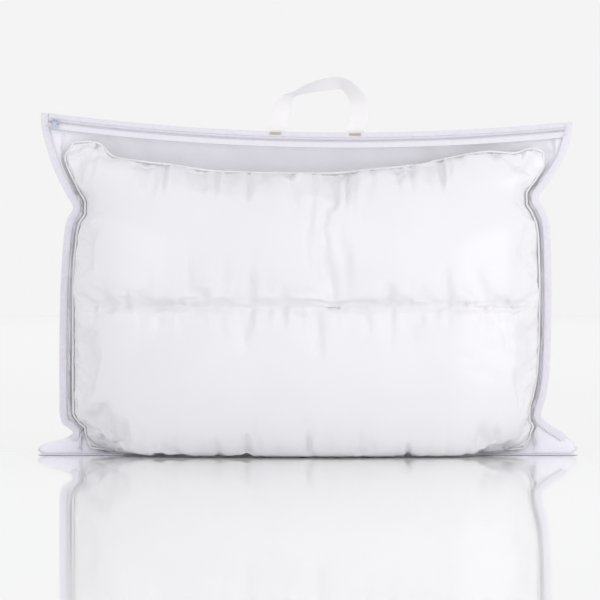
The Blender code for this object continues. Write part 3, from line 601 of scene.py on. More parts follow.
def inside_bag(places):
    """Presses the swollen pillow back to where the bag's sides, faces and underside stop it."""
    places = places.copy()
    for side in (-1, 1):
        wall = bag_wall(side)
        for k in np.nonzero(places[:, 1] * side > 0.002)[0]:
            spot = places[k]
            hit = wall.ray_cast(Vector((spot[0], side * 0.3, spot[2])), Vector((0, -side, 0)))[0]
            if hit is not None:
                places[k, 1] = side * eased(side * spot[1], side * hit.y - PILLOW_ROOM, 0.006)
    x, z = places[:, 0], places[:, 2]
    rise = (chain_height(x) - ZIP_LOW) * smooth(BELLY_HIGH, BAND_START + 0.015, z)
    for sign in (-1, 1):
        limit = bulge_edge(sign, z - rise) - 0.004
        x = np.where(sign * x > 0, sign * eased(sign * x, limit, 0.008), x)
    places[:, 0] = x
    places[:, 2] = np.maximum(z, 0.0018)
    return places


def gather(piece):
    """Draws the cloth in along its seams: short narrow creases that run away from each seam and fade."""
    chance = np.random.default_rng(11)
    places = points_of(piece)
    normals = np.empty(len(places) * 3)
    piece.data.vertices.foreach_get("normal", normals)
    normals = normals.reshape(-1, 3)
    x, z = places[:, 0], places[:, 2]
    top = through(PILLOW_TOP_EDGE, x)
    middle = lifted(x, CENTRE_SEAM)
    face = np.abs(places[:, 1])
    from_top = np.maximum(top - z, 0) + 0.5 * np.maximum(0.06 - face, 0)
    from_bottom = np.abs(z - PILLOW_BASE - 0.018) + 0.5 * np.maximum(0.05 - face, 0)
    depth = np.zeros(len(places))
    # For each seam: the distance from it, how many creases, and the least and most length and depth of one.
    seams = (
        (from_top, 34, (0.026, 0.068), (0.0028, 0.0062)),
        (from_bottom, 30, (0.014, 0.040), (0.0016, 0.0036)),
        (np.where(z < middle, middle - z, 1.0), 26, (0.010, 0.032), (0.0016, 0.0036)),
        (np.where(z > middle, z - middle, 1.0), 22, (0.008, 0.026), (0.0012, 0.0028)),
    )
    for side in (-1, 1):
        here = places[:, 1] * side > 0
        for away, count, reach, sink in seams:
            for _ in range(count):
                at, lean = chance.uniform(-0.31, 0.31), chance.uniform(-0.25, 0.25)
                long, deep = chance.uniform(*reach), chance.uniform(*sink)
                wide = chance.uniform(0.0026, 0.0060)
                across = (x - at - lean * away) / wide
                crease = np.exp(-across**2) - 0.45 * np.exp(-((across - 1.9) / 1.3) ** 2)
                depth += np.where(here, deep * crease * np.exp(-((away / long) ** 1.6)), 0)
    depth = DEEPEST_CREASE * np.tanh(depth / DEEPEST_CREASE)
    # The seam itself sinks into the filling.
    depth += GROOVE_DEPTH * np.exp(-np.abs((z - middle) / GROOVE_WIDTH) ** 1.4) * smooth(0.02, 0.05, face)
    set_points(piece, places - normals * depth[:, None])


def make_pillow(look):
    """Two cotton panels sewn all round and across the middle, cut larger than their seams and filled."""
    piece = grid_piece("pillow", pillow_grid(-1), BLANK)
    back = grid_piece("pillow_back", pillow_grid(1), BLANK, flip=True)
    made = bmesh.new()
    made.from_mesh(piece.data)
    made.from_mesh(back.data)
    bpy.data.objects.remove(back)
    bmesh.ops.remove_doubles(made, verts=made.verts, dist=0.00002)
    bmesh.ops.triangulate(made, faces=[face for face in made.faces if len(face.verts) > 4])
    made.to_mesh(piece.data)
    made.free()
    places = points_of(piece)
    seam = lifted(places[:, 0], CENTRE_SEAM)
    rim = np.abs(places[:, 1]) < 1e-5
    middle = np.abs(places[:, 2] - seam) < 0.0026
    held = np.nonzero(rim | middle)[0]
    # The filling is a little uneven, so the cloth starts with soft lumps that the gathers then follow.
    lumps = noise_at(places, (9, 4, 11), (3.1, 0, 1.7))
    fine = noise_at(places, (60, 20, 16), (0, 5, 0))
    outward = places * [0.1, 1, 0.25] - [0, 0, 0.05]
    outward /= np.maximum(np.linalg.norm(outward, axis=1, keepdims=True), 1e-9)
    free = np.ones(len(places))
    free[held] = 0
    places = places + outward * ((0.0022 * lumps + 0.0007 * fine) * free)[:, None]
    places[:, 2] = np.maximum(places[:, 2], PILLOW_BASE - 0.001)
    set_points(piece, places)
    settle(piece, held, growth=0.080, pressure=4.0, frames=24, bending=0.12, most=0.014)
    round_off = piece.modifiers.new("round off", "SUBSURF")
    round_off.levels = 1
    round_off.render_levels = 1
    finished(piece)
    gather(piece)
    set_points(piece, inside_bag(points_of(piece)))
    piece.data.materials.append(look)
    piece.data.shade_smooth()
    return piece


def pillow_rim():
    """The pillow's sewn edge as a loop in the plane between its faces."""
    grid = pillow_grid(-1)
    sides = [grid[0], grid[1:, -1], grid[-1, -2::-1], grid[-2:0:-1, 0]]
    loop = np.concatenate(sides)
    loop[:, 1] = 0
    return loop


def make_piping(look):
    """A bias-cut cord round the pillow's edge, with the little waves that the gathers leave in it."""
    loop = pillow_rim()
    keep = [0]
    for k in range(1, len(loop)):
        if np.linalg.norm(loop[k] - loop[keep[-1]]) > 0.0025:
            keep.append(k)
    loop = loop[keep]
    along = np.roll(loop, -1, 0) - np.roll(loop, 1, 0)
    along /= np.linalg.norm(along, axis=1, keepdims=True)
    outward = np.stack([along[:, 2], 0 * along[:, 0], -along[:, 0]], axis=1)
    wave = noise_at(loop, (45, 0, 45), (0, 2.5, 0))
    centre = loop + outward * (0.0014 + 0.0005 * wave)[:, None]
    centre[:, 1] += 0.0012 * noise_at(loop, (30, 0, 30), (0, 9.5, 0))
    centre[:, 2] = np.maximum(centre[:, 2], 0.0035)
    turn = np.linspace(0, math.tau, 10, endpoint=False)
    rings = centre[:, None] + PIPING_RADIUS * (
        np.cos(turn)[None, :, None] * outward[:, None] + np.sin(turn)[None, :, None] * np.array([0, 1, 0])
    )
    return swept_piece("pillow_piping", rings, look, closed_path=True)


# ---- Bag panels ----

def panel_profile(side, layer, top_d):
    top = band(0.0, top_d, layer) - [0, 0, float(chain_height(0.0)) - ZIP_LOW]
    points = [(GAP, BASE_TAPE + GAP), (BASE_HALF_WIDTH + GAP, BASE_TAPE + GAP), (0.015, 0.0), (CONTACT, 0.0)]
    points += arc_between(points[-1], (BAG_HALF_DEPTH, BELLY_LOW), rising=True)
    points += [(BAG_HALF_DEPTH, BELLY_HIGH)]
    points += arc_between(points[-1], (side * top[1], top[2]), rising=False, angle=CROWN_ARC)
    return points, top[2]


def panel_grid(side, layer, top_d, band_rows):
    """Rows of points over the front (-1) or back (1) panel, seam to seam, up to its top edge."""
    profile, top = panel_profile(side, layer, top_d)
    share, depth, height = evenly(profile, ROW_SPACING)
    edge = height[0] + (top - height[0]) * share
    across, fullness = spread(COLUMNS)
    rim_y = (seam_plane(edge) - layer * lean_stretch(edge))[:, None]
    z = height[:, None] + (edge - height)[:, None] * np.abs(across) ** 10
    half = np.where(across < 0, bulge_edge(-1, edge)[:, None], bulge_edge(1, edge)[:, None])
    x = across * half
    y = rim_y + (side * depth[:, None] - rim_y) * fullness
    parts = [np.stack([x, y, lifted(x, z)], axis=-1)]
    for sign in (-1, 1):
        seam = side_x(sign, edge)[:, None]
        start = (sign * bulge_edge(sign, edge))[:, None]
        steps = np.linspace(1, 0, 6, endpoint=False) if sign < 0 else np.linspace(0, 1, 7)[1:]
        flap_x = start + (seam - start) * steps[None, :]
        flap_y = np.repeat(rim_y, len(steps), axis=1)
        flap = np.stack([flap_x, flap_y, lifted(flap_x, edge[:, None])], axis=-1)
        parts = [flap] + parts if sign < 0 else parts + [flap]
    grid = np.concatenate(parts, axis=1)
    for d in band_rows:
        nominal = ZIP_LOW + d * math.cos(LEAN)
        left, right = float(side_x(-1, nominal)), float(side_x(1, nominal))
        old = grid[-1, :, 0]
        row_x = left + (old - old[0]) * (right - left) / (old[-1] - old[0])
        grid = np.concatenate([grid, band(row_x, d, layer)[None]], axis=0)
    return grid


def sewn_edges(grid, binding):
    """Indices of the points held by the seams: the bound sides, the bottom and the top edge."""
    rows, columns = grid.shape[:2]
    index = np.arange(rows * columns).reshape(rows, columns)
    held = np.zeros((rows, columns), bool)
    held[:2] = held[-3:] = True
    held |= np.abs(grid[:, :, 0] - grid[:, :1, 0]) < binding
    held |= np.abs(grid[:, :, 0] - grid[:, -1:, 0]) < binding
    return index[held]


def blurred(field, rounds):
    """A field of rows and columns, averaged with its neighbours."""
    for _ in range(rounds):
        padded = np.pad(field, 1, mode="edge")
        near = padded[:-2, 1:-1] + padded[2:, 1:-1] + padded[1:-1, :-2] + padded[1:-1, 2:]
        field = 0.5 * field + 0.125 * near
    return field


def keep_clear(piece, shape, side, inner, held):
    """Eases a panel out over what is inside the bag, as cloth drawn tight over it lies."""
    graph = bpy.context.evaluated_depsgraph_get()
    trees = [BVHTree.FromObject(other, graph) for other in inner]
    places = points_of(piece)
    free = np.ones(len(places), bool)
    free[held] = False
    free = free.reshape(shape)
    least = np.full(len(places), -1.0)
    for k, place in enumerate(places):
        start = Vector((place[0], side * 0.4, place[2]))
        hits = [tree.ray_cast(start, Vector((0, -side, 0)))[0] for tree in trees]
        least[k] = max([side * hit.y + CLEARANCE for hit in hits if hit is not None], default=-1.0)
    least = least.reshape(shape)
    padded = np.pad(least, 1, constant_values=-1.0)
    rows, columns = shape
    least = np.max([padded[a:a + rows, b:b + columns] for a in range(3) for b in range(3)], axis=0)
    out = side * places[:, 1].reshape(shape)
    wrinkles = out - blurred(out, 14)
    drawn = out
    for _ in range(50):
        drawn = np.where(free, np.maximum(blurred(drawn, 1), least), out)
    # Where the film is drawn over the filling its wrinkles stay, but never go under it.
    drawn = np.where(free, np.maximum(drawn + 0.8 * wrinkles, least), out)
    places[:, 1] = side * drawn.ravel()
    set_points(piece, places)


def make_panel(name, look, side, layer, top_d, band_rows, inner, wall, growth, bending, seed):
    grid = panel_grid(side, layer, top_d, band_rows)
    piece = grid_piece(name, grid, (0.730, 0.560), flip=side > 0)
    held = sewn_edges(grid, BINDING_WIDTH)
    places = points_of(piece)
    free = np.ones(len(places))
    free[held] = 0
    places[:, 1] += side * 0.0012 * noise_at(places, (22, 9, 22), (seed, 0, -seed)) * free
    set_points(piece, places)
    settle(piece, held, growth, pressure=0.8, frames=16, bending=bending, most=0.006)
    places = points_of(piece)
    places[:, 2] = np.maximum(places[:, 2], SOFT_BED)
    set_points(piece, places)
    keep_clear(piece, grid.shape[:2], side, inner, held)
    thickened(piece, wall)
    piece.data.materials.append(look)
    piece.data.shade_smooth()
    return piece


# ---- Bindings and tapes ----

def folded_section(width, front, rear, steps=6):
    """(a, b) round a tape folded over an edge: a runs in from the fold, b is its layer."""
    wall = BINDING_WALL
    middle, half = (front + rear) / 2, (front - rear) / 2 + wall
    start = half * 0.55
    turn = np.linspace(math.pi / 2, 3 * math.pi / 2, 2 * steps + 1)
    outer = [(start + math.cos(t) * start, middle + math.sin(t) * half) for t in turn]
    inner = [(start + math.cos(t) * (start - wall), middle + math.sin(t) * (half - wall)) for t in turn[::-1]]
    legs = [width - (width - start) * k / 3 for k in range(3)]
    top = [(a, middle + half) for a in legs]
    bottom = [(a, middle - half) for a in legs[::-1]]
    back_in = [(a, middle - half + wall) for a in legs]
    back_out = [(a, middle + half - wall) for a in legs[::-1]]
    return np.array(top + outer + bottom + back_in + inner + back_out)


def pucker(place, amount, scale=120.0):
    return amount * noise(Vector((place[0] * scale, 4.2, place[2] * scale)))


def side_stations(sign, low, high, step=0.003):
    """Places up a side seam, with the axis that runs in from the edge and the layer axis."""
    nominal = np.arange(low, high + step / 2, step)
    x = side_x(sign, nominal)
    place = np.stack([x, seam_plane(nominal), lifted(x, nominal)], axis=1)
    along = np.gradient(place, axis=0)
    upper = nominal >= BAND_START
    along[upper] = np.stack([ZIP_LOW_X - x, 0 * x, ZIP_RADIUS + 0 * x], axis=1)[upper]
    inward = np.stack([-sign * along[:, 2], 0 * x, sign * along[:, 0]], axis=1)
    inward /= np.linalg.norm(inward, axis=1, keepdims=True)
    front = np.stack([0 * x, -lean_stretch(nominal), 0 * x], axis=1)
    return place, inward, front


def make_side_binding(name, sign, look):
    place, inward, front = side_stations(sign, 0.026, BAND_TOP)
    section = folded_section(BINDING_WIDTH, BINDING_FRONT, BINDING_REAR)
    rings = place[:, None] + inward[:, None] * (section[:, 0] - 0.0009)[None, :, None]
    rings = rings + front[:, None] * section[:, 1][None, :, None]
    for ring, spot in zip(rings, place):
        ring[:, 1] += pucker(spot, 0.0005)
    return swept_piece(name, rings, look)


def band_rings(x_from, x_to, section, step=0.004):
    """Rings of a strip that runs along the zip band: section is (d, n)."""
    count = int((x_to - x_from) / step) + 1
    return np.array([band(x, section[:, 0], section[:, 1]) for x in np.linspace(x_from, x_to, count)])


def band_reach(sign, d):
    return float(side_x(sign, ZIP_LOW + d * math.cos(LEAN)))


def make_top_binding(look):
    section = folded_section(BINDING_CREST - BINDING_FOOT, BINDING_FRONT, BINDING_REAR)
    section = np.stack([BINDING_CREST - section[:, 0], section[:, 1]], axis=1)
    left = band_reach(-1, BINDING_FOOT) + BINDING_WIDTH - TUCK
    right = band_reach(1, BINDING_FOOT) - BINDING_WIDTH + TUCK
    rings = band_rings(left, right, section)
    for ring in rings:
        ring[:, 2] += pucker(ring.mean(axis=0), 0.0004, 60.0)
    return swept_piece("binding_top_tape", rings, look)


def rectangle_section(a_low, a_high, b_low, b_high, parts=4):
    there = [(a_low + (a_high - a_low) * k / parts, b_low) for k in range(parts + 1)]
    back = [(a_high - (a_high - a_low) * k / parts, b_high) for k in range(parts + 1)]
    return np.array(there + back)


def make_zip_tape(name, d_low, d_high, look):
    section = rectangle_section(d_low, d_high, -TAPE_FACE, TAPE_FACE)
    middle = (d_low + d_high) / 2
    left, right = band_reach(-1, middle) + 0.0015, band_reach(1, middle) - 0.0015
    return swept_piece(name, band_rings(left, right, section), look)


def make_base_tape(look):
    """The bottom seam's tape, pressed flat; the bag stands on it."""
    turn = np.linspace(0, math.tau, 12, endpoint=False)
    rings = []
    for x in np.linspace(0.0005 - EAR_TIP, EAR_TIP - 0.0005, 186):
        end = min(1.0, (EAR_TIP - abs(x)) / 0.006) ** 0.5 if abs(x) > 0.365 else 1.0
        half = BASE_HALF_WIDTH * (0.35 + 0.65 * end)
        y = np.clip(np.cos(turn) * half * 1.2, -half, half)
        z = np.clip(0.0005 + np.sin(turn) * 0.0006, 0.0, BASE_TAPE)
        rings.append(np.stack([0 * turn + x, y + pucker((x, 0, 0.3), 0.0003), z], axis=1))
    return swept_piece("binding_bottom_tape", rings, look)


# ---- Things that repeat along a line ----

def line_piece(name, lines):
    """A wire mesh of open lines, for the trees below to follow."""
    points, edges = [], []
    for line in lines:
        first = len(points)
        points += [tuple(map(float, p)) for p in line]
        edges += [(k, k + 1) for k in range(first, len(points) - 1)]
    mesh = bpy.data.meshes.new(name)
    mesh.from_pydata(points, edges, [])
    return new_piece(name, mesh)


def repeat_tree(name, result, pitch, sizes, look):
    """A tree that repeats something along a line: the tree, its inputs, the keys of the inputs, even points."""
    tree = bpy.data.node_groups.new(name, "GeometryNodeTree")
    names = {}

    def ask(key, label, kind, default=None):
        socket = tree.interface.new_socket(label, in_out="INPUT", socket_type=kind)
        if default is not None:
            socket.default_value = default
        names[key] = socket.identifier

    ask("line", "Line", "NodeSocketGeometry")
    for key, label, default in (("pitch", "Pitch", pitch), *sizes):
        ask(key, label, "NodeSocketFloat", default)
    ask("look", look, "NodeSocketMaterial")
    tree.interface.new_socket(result, in_out="OUTPUT", socket_type="NodeSocketGeometry")
    given = add_node(tree, "NodeGroupInput").outputs
    curve = add_node(tree, "GeometryNodeMeshToCurve", {"Mesh": given["Line"]})
    even = add_node(
        tree, "GeometryNodeResampleCurve", {"Curve": curve.outputs[0], "Length": given["Pitch"]}, mode="LENGTH",
    )
    return tree, given, names, even.outputs[0]


def made_real(tree, instances, look):
    """Ends a tree: turns its instances into one mesh with one finish."""
    real = add_node(tree, "GeometryNodeRealizeInstances", {"Geometry": instances})
    coloured = add_node(tree, "GeometryNodeSetMaterial", {"Geometry": real.outputs[0], "Material": look})
    add_node(tree, "NodeGroupOutput", {0: coloured.outputs[0]})


def stitch_tree():
    """Lock stitches: a plump bead of thread at even steps along each line."""
    sizes = (
        ("length", "Stitch length", 0.0029), ("thread", "Thread width", 0.0006), ("wander", "Wander", 0.00012),
    )
    tree, given, names, even = repeat_tree("lock stitches", "Stitches", STITCH_PITCH, sizes, "Thread")
    bead = add_node(tree, "GeometryNodeMeshUVSphere", {"Segments": 6, "Rings": 4, "Radius": 0.5})
    width = given["Thread width"]
    size = add_node(tree, "ShaderNodeCombineXYZ", {0: given["Stitch length"], 1: width, 2: width})
    shaped = add_node(tree, "GeometryNodeTransform", {"Geometry": bead.outputs[0], "Scale": size.outputs[0]})
    tangent = add_node(tree, "GeometryNodeInputTangent")
    turned = add_node(tree, "FunctionNodeAlignRotationToVector", {"Vector": tangent.outputs[0]}, axis="X")
    placed = add_node(
        tree, "GeometryNodeInstanceOnPoints",
        {"Points": even, "Instance": shaped.outputs[0], "Rotation": turned.outputs[0]},
    )
    drift = add_node(tree, "FunctionNodeRandomValue", {"Seed": 7}, data_type="FLOAT_VECTOR")
    drift.inputs[0].default_value = (-0.5, -0.5, -0.5)
    drift.inputs[1].default_value = (0.5, 0.5, 0.5)
    shift = add_node(
        tree, "ShaderNodeVectorMath", {0: drift.outputs[0], "Scale": given["Wander"]}, operation="SCALE",
    )
    moved = add_node(
        tree, "GeometryNodeTranslateInstances",
        {"Instances": placed.outputs[0], "Translation": shift.outputs[0]},
    )
    made_real(tree, moved.outputs[0], given["Thread"])
    return tree, names


def coil_tree():
    """Zip coil: one flattened loop of monofilament for each turn, leaning a little along the chain."""
    sizes = (
        ("wire", "Wire radius", 0.00030), ("reach", "Loop reach", 0.00095), ("depth", "Loop depth", 0.0007),
        ("slant", "Slant", 0.35),
    )
    tree, given, names, even = repeat_tree("zip coil", "Coil", COIL_PITCH, sizes, "Wire")
    ring = add_node(tree, "GeometryNodeCurvePrimitiveCircle", {"Resolution": 8, "Radius": 1.0})
    size = add_node(tree, "ShaderNodeCombineXYZ", {0: given["Loop reach"], 1: given["Loop depth"], 2: 1.0})
    oval = add_node(tree, "GeometryNodeTransform", {"Geometry": ring.outputs[0], "Scale": size.outputs[0]})
    wire = add_node(tree, "GeometryNodeCurvePrimitiveCircle", {"Resolution": 5, "Radius": given["Wire radius"]})
    loop = add_node(tree, "GeometryNodeCurveToMesh", {"Curve": oval.outputs[0], "Profile Curve": wire.outputs[0]})
    # The ring is drawn flat, then stood across the chain with its long axis up the band.
    tipped = add_node(
        tree, "GeometryNodeTransform",
        {"Geometry": loop.outputs[0], "Rotation": (math.pi / 2, LEAN - math.pi / 2, math.pi / 2)},
    )
    slanted = add_node(tree, "ShaderNodeCombineXYZ", {2: given["Slant"]})
    placed = add_node(
        tree, "GeometryNodeInstanceOnPoints",
        {"Points": even, "Instance": tipped.outputs[0], "Rotation": slanted.outputs[0]},
    )
    made_real(tree, placed.outputs[0], given["Wire"])
    return tree, names


def grown(name, lines, tree, names, **values):
    """Runs a tree along lines and keeps the result as a plain mesh."""
    piece = line_piece(name, lines)
    grow = piece.modifiers.new("grow", "NODES")
    grow.node_group = tree
    for key, value in values.items():
        grow[names[key]] = value
    finished(piece)
    piece.data.shade_smooth()
    return piece


# ---- Slider and pull ----

def slider_place():
    """The parked slider's place and its axes: along the chain, up the band and out of it."""
    low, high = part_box("zip_slider")
    park_x = (low[0] + high[0]) / 2
    turn = math.asin((park_x - ZIP_LOW_X) / ZIP_RADIUS)
    along = np.array([math.cos(turn), 0, math.sin(turn)])
    radial = np.array([-math.sin(turn), 0, math.cos(turn)])
    up = radial * math.cos(LEAN) + np.array([0, math.sin(LEAN), 0])
    out = radial * math.sin(LEAN) - np.array([0, math.cos(LEAN), 0])
    centre = np.array([ZIP_LOW_X, CHAIN_Y, ZIP_LOW + ZIP_RADIUS])
    return centre - radial * ZIP_RADIUS, along, up, out


def solid_plate(made, outline, low, high, bevel):
    """Adds an extruded outline (along, up) between two layers, with eased edges."""
    bottom = [made.verts.new((a, b, low)) for a, b in outline]
    top = [made.verts.new((a, b, high)) for a, b in outline]
    count = len(outline)
    faces = [made.faces.new(bottom[::-1]), made.faces.new(top)]
    for k in range(count):
        m = (k + 1) % count
        faces.append(made.faces.new((bottom[k], bottom[m], top[m], top[k])))
    edges = {edge for face in faces[:2] for edge in face.edges}
    bmesh.ops.bevel(made, geom=list(edges), offset=bevel, segments=2, profile=0.6, affect="EDGES")


def rounded_outline(half_long, half_wide, corner, steps=5):
    outline = []
    for sx, sy, start in ((1, -1, -90), (1, 1, 0), (-1, 1, 90), (-1, -1, 180)):
        for k in range(steps + 1):
            turn = math.radians(start + 90 * k / steps)
            outline.append((
                sx * (half_long - corner) + corner * math.cos(turn),
                sy * (half_wide - corner) + corner * math.sin(turn),
            ))
    return outline


def tube(made, centres, normal, radius, sides=10):
    """Adds a capped round bar that follows centres lying in one plane."""
    centres = [Vector(c) for c in centres]
    rings = []
    for k, centre in enumerate(centres):
        along = (centres[min(k + 1, len(centres) - 1)] - centres[max(k - 1, 0)]).normalized()
        first = Vector(normal)
        second = along.cross(first).normalized()
        ring = []
        for i in range(sides):
            turn = math.tau * i / sides
            ring.append(made.verts.new(centre + radius * (first * math.cos(turn) + second * math.sin(turn))))
        rings.append(ring)
    for ring, following in zip(rings, rings[1:]):
        for i in range(sides):
            j = (i + 1) % sides
            made.faces.new((ring[i], ring[j], following[j], following[i]))
    made.faces.new(rings[0][::-1])
    made.faces.new(rings[-1])


def hoop(made, radius_in, radius_out, half_width, sides=28):
    """Adds a flat ring about the along axis, with its edges eased."""
    profile = [
        (-half_width, radius_in + 0.0002), (-half_width + 0.0002, radius_in), (half_width - 0.0002, radius_in),
        (half_width, radius_in + 0.0002), (half_width, radius_out - 0.0003),
        (half_width - 0.0003, radius_out), (-half_width + 0.0003, radius_out), (-half_width, radius_out - 0.0003),
    ]
    rings = []
    for k in range(sides):
        turn = math.tau * k / sides
        rings.append([made.verts.new((a, r * math.cos(turn), r * math.sin(turn))) for a, r in profile])
    for k in range(sides):
        ring, following = rings[k], rings[(k + 1) % sides]
        for i in range(len(profile)):
            j = (i + 1) % len(profile)
            made.faces.new((ring[i], ring[j], following[j], following[i]))


def placed_metal(name, made, origin, look):
    bmesh.ops.recalc_face_normals(made, faces=made.faces)
    mesh = bpy.data.meshes.new(name)
    made.to_mesh(mesh)
    made.free()
    turn = Matrix(slider_place()[1:]).transposed().to_4x4()
    mesh.transform(Matrix.Translation(Vector(origin)) @ turn)
    mesh.shade_smooth()
    mesh.set_sharp_from_angle(angle=math.radians(35))
    mesh.materials.append(look)
    return new_piece(name, mesh)


def make_slider(look):
    """A cast slider: two shield-shaped plates joined by a post, with turned-in lips and a bridge for the pull."""
    half_wide, plate, lip_low, lip_high = 0.0038, 0.0008, 0.0030, 0.0036
    shield = rounded_outline(SLIDER_LENGTH / 2, half_wide, 0.0014)
    waist = [(a, b * (1 - 0.10 * max(0, a) / 0.005)) for a, b in shield]
    under = -TAPE_FACE - GAP
    made = bmesh.new()
    solid_plate(made, waist, PLATE_FRONT - plate, PLATE_FRONT, 0.0002)
    solid_plate(made, waist, under - plate, under, 0.0002)
    for sign in (-1, 1):
        lip = [
            (-0.0044, sign * lip_low), (0.0040, sign * lip_low), (0.0040, sign * lip_high), (-0.0044, sign * 0.0037),
        ]
        solid_plate(made, lip[::sign], -under, PLATE_FRONT - plate / 2, 0.00012)
    post = [(a + 0.0032, b) for a, b in rounded_outline(0.0012, 0.0003, 0.00025)]
    solid_plate(made, post, under - plate / 2, PLATE_FRONT - plate / 2, 0.00005)
    # The bridge: two legs, and an arch over the pull's ring with a bend of this radius at each end.
    bend, foot = 0.0007, PLATE_FRONT - 0.0003
    spring = PULL_AXIS - bend
    arch = [(-0.0025, 0, foot), (-0.0025, 0, spring)]
    arch += [(-0.0018 - bend * math.cos(t), 0, spring + bend * math.sin(t)) for t in (0.5, 1.0, 1.57)]
    arch += [(0.0018 + bend * math.sin(t), 0, spring + bend * math.cos(t)) for t in (0, 0.57, 1.07, 1.57)]
    arch += [(0.0025, 0, foot)]
    tube(made, arch, (0, 1, 0), 0.0005)
    return placed_metal("slider_body", made, slider_place()[0], look)


def make_pull(look):
    """A flat die-cast pull: a ring on the slider's bridge, a short neck and a rounded tab with a raised rim."""
    made = bmesh.new()
    hoop(made, 0.0011, 0.0020, 0.0007)
    neck = [(-0.0006, -0.0036), (0.0006, -0.0036), (0.00055, -0.0016), (-0.00055, -0.0016)]
    solid_plate(made, neck, -0.0005, 0.0005, 0.0001)
    tab = [(a, b - 0.0098) for a, b in rounded_outline(0.0040, 0.0070, 0.0022, steps=6)]
    shoulder = [(a * (1 - 0.35 * float(smooth(-0.0075, -0.0028, b))), b) for a, b in tab]
    solid_plate(made, shoulder, -0.0005, 0.0005, 0.00025)
    raised_panel = [(a * 0.62, b - 0.0104) for a, b in rounded_outline(0.0040, 0.0050, 0.0018, steps=6)]
    solid_plate(made, raised_panel, -0.0007, 0.0007, 0.00018)
    place, _, _, out = slider_place()
    return placed_metal("pull_tab", made, place + out * PULL_AXIS, look)


# ---- Handle ----

def handle_axis():
    """The line that the strap bends about, on the top of its two feet."""
    joint = [j for j in frame["joints"] if j["name"] == "handle_swing"][0]
    return np.array(joint["pos_m"], float)


def strap_rings(line, width, face, cup=0.0):
    """Rings of webbing along a line, its woven edges a little rounded and its width cupped."""
    half, wall = STRAP_WIDTH / 2, STRAP_WALL / 2
    section = rectangle_section(-half, half, -wall, wall, parts=10)
    section[:, 1] *= 1 - 0.5 * (np.abs(section[:, 0]) / half) ** 10
    layer = section[:, 1] + cup * (section[:, 0] / half) ** 2
    return line[:, None] + width[:, None] * section[:, 0][None, :, None] + face[:, None] * layer[..., None]


def make_strap(look):
    """Webbing that stands up from its feet, rolls edge-on at the left corner and lies over the top."""
    span = HANDLE_RIGHT - HANDLE_LEFT
    left, right, rise = -span / 2, span / 2, 0.0675
    route = [
        (0, left, 0.0), (1, left + 0.06 * span, 0.34 * rise), (2, left + 0.15 * span, 0.66 * rise),
        (3, left + 0.34 * span, 0.85 * rise), (4, left + 0.62 * span, 0.965 * rise),
        (5, left + 0.86 * span, rise * 0.97), (6, right + 0.02 * span, 0.70 * rise),
        (7, right + 0.045 * span, 0.34 * rise), (8, right, 0.0),
    ]
    twist = [
        (0, 0.0), (0.8, 0.12), (1.8, 0.80), (2.5, 1.32), (3.2, 1.12), (4.2, 0.88), (5.2, 0.92),
        (6.0, 0.55), (7.0, 0.12), (8, 0.0),
    ]
    at = np.linspace(0, 8, 121)
    x = through([(t, v) for t, v, _ in route], at)
    z = through([(t, v) for t, _, v in route], at)
    y = 0.004 * np.sin(math.pi * at / 8) ** 2
    centre = np.stack([x, y, z], axis=1)
    along = np.gradient(centre, axis=0)
    along /= np.linalg.norm(along, axis=1, keepdims=True)
    along[0], along[-1] = (0, 0, 1), (0, 0, -1)
    across = np.cross([0, 1, 0], along)
    turn = through(twist, at)[:, None]
    width = across * np.cos(turn) + np.array([0, 1, 0]) * np.sin(turn)
    face = np.cross(width, along)
    face /= np.linalg.norm(face, axis=1, keepdims=True)
    cup = 0.0012 * np.sin(math.pi * at / 8)[:, None]
    return swept_piece("strap", strap_rings(centre, width, face, cup) + handle_axis(), look)


def make_strap_foot(name, x, look):
    """The strap's sewn end, up behind the top binding to the line where the strap bends."""
    low, reach, steps, short = 0.0085, 0.0093, 9, 0.0008
    line = [
        band(x, BINDING_CREST - low + reach * k / steps, FOOT_LAYER - STRAP_WALL / 2) for k in range(steps + 1)
    ]
    # It stops just short of the bend, so that the strap can turn over it.
    axis = handle_axis()
    start, last = line[-1], np.array([x, axis[1], axis[2] - short])
    line = np.array(line + [start + (last - start) * k / 4 for k in range(1, 5)])
    along = np.gradient(line, axis=0)
    along /= np.linalg.norm(along, axis=1, keepdims=True)
    rings = strap_rings(line, np.tile([1.0, 0, 0], (len(line), 1)), np.cross([1, 0, 0], along))
    rise = chain_height(rings[:, :, 0]) - chain_height(x)
    rings[:, :, 2] += rise * np.linspace(1, 0, len(line))[:, None]
    return swept_piece(name, rings, look)


def tack_line(x):
    """The zigzag of a bar tack across the top binding."""
    width, count, low, high = 0.016, 22, 0.0075, 0.0120
    places = [(x - width / 2 + width * k / count, high if k % 2 else low) for k in range(count + 1)]
    return [band(across, d, BINDING_FACE + 0.0003) for across, d in places]


# ---- Table, light and view ----

def make_table(look):
    size, below = 12.0, SOFT_BED
    mesh = bpy.data.meshes.new("table")
    corners = [(-size, -size, -below), (size, -size, -below), (size, size * 3, -below), (-size, size * 3, -below)]
    mesh.from_pydata(corners, [], [(0, 1, 2, 3)])
    mesh.materials.append(look)
    new_piece("table", mesh)


def softbox(name, place, aim, size, power, colour):
    lamp = bpy.data.lights.new(name, "AREA")
    lamp.shape = "RECTANGLE"
    lamp.size, lamp.size_y = size
    lamp.energy = power
    lamp.color = linear(colour)[:3]
    holder = bpy.data.objects.new(name, lamp)
    holder.location = place
    holder.rotation_euler = (Vector(aim) - Vector(place)).to_track_quat("-Z", "Y").to_euler()
    bpy.context.scene.collection.objects.link(holder)


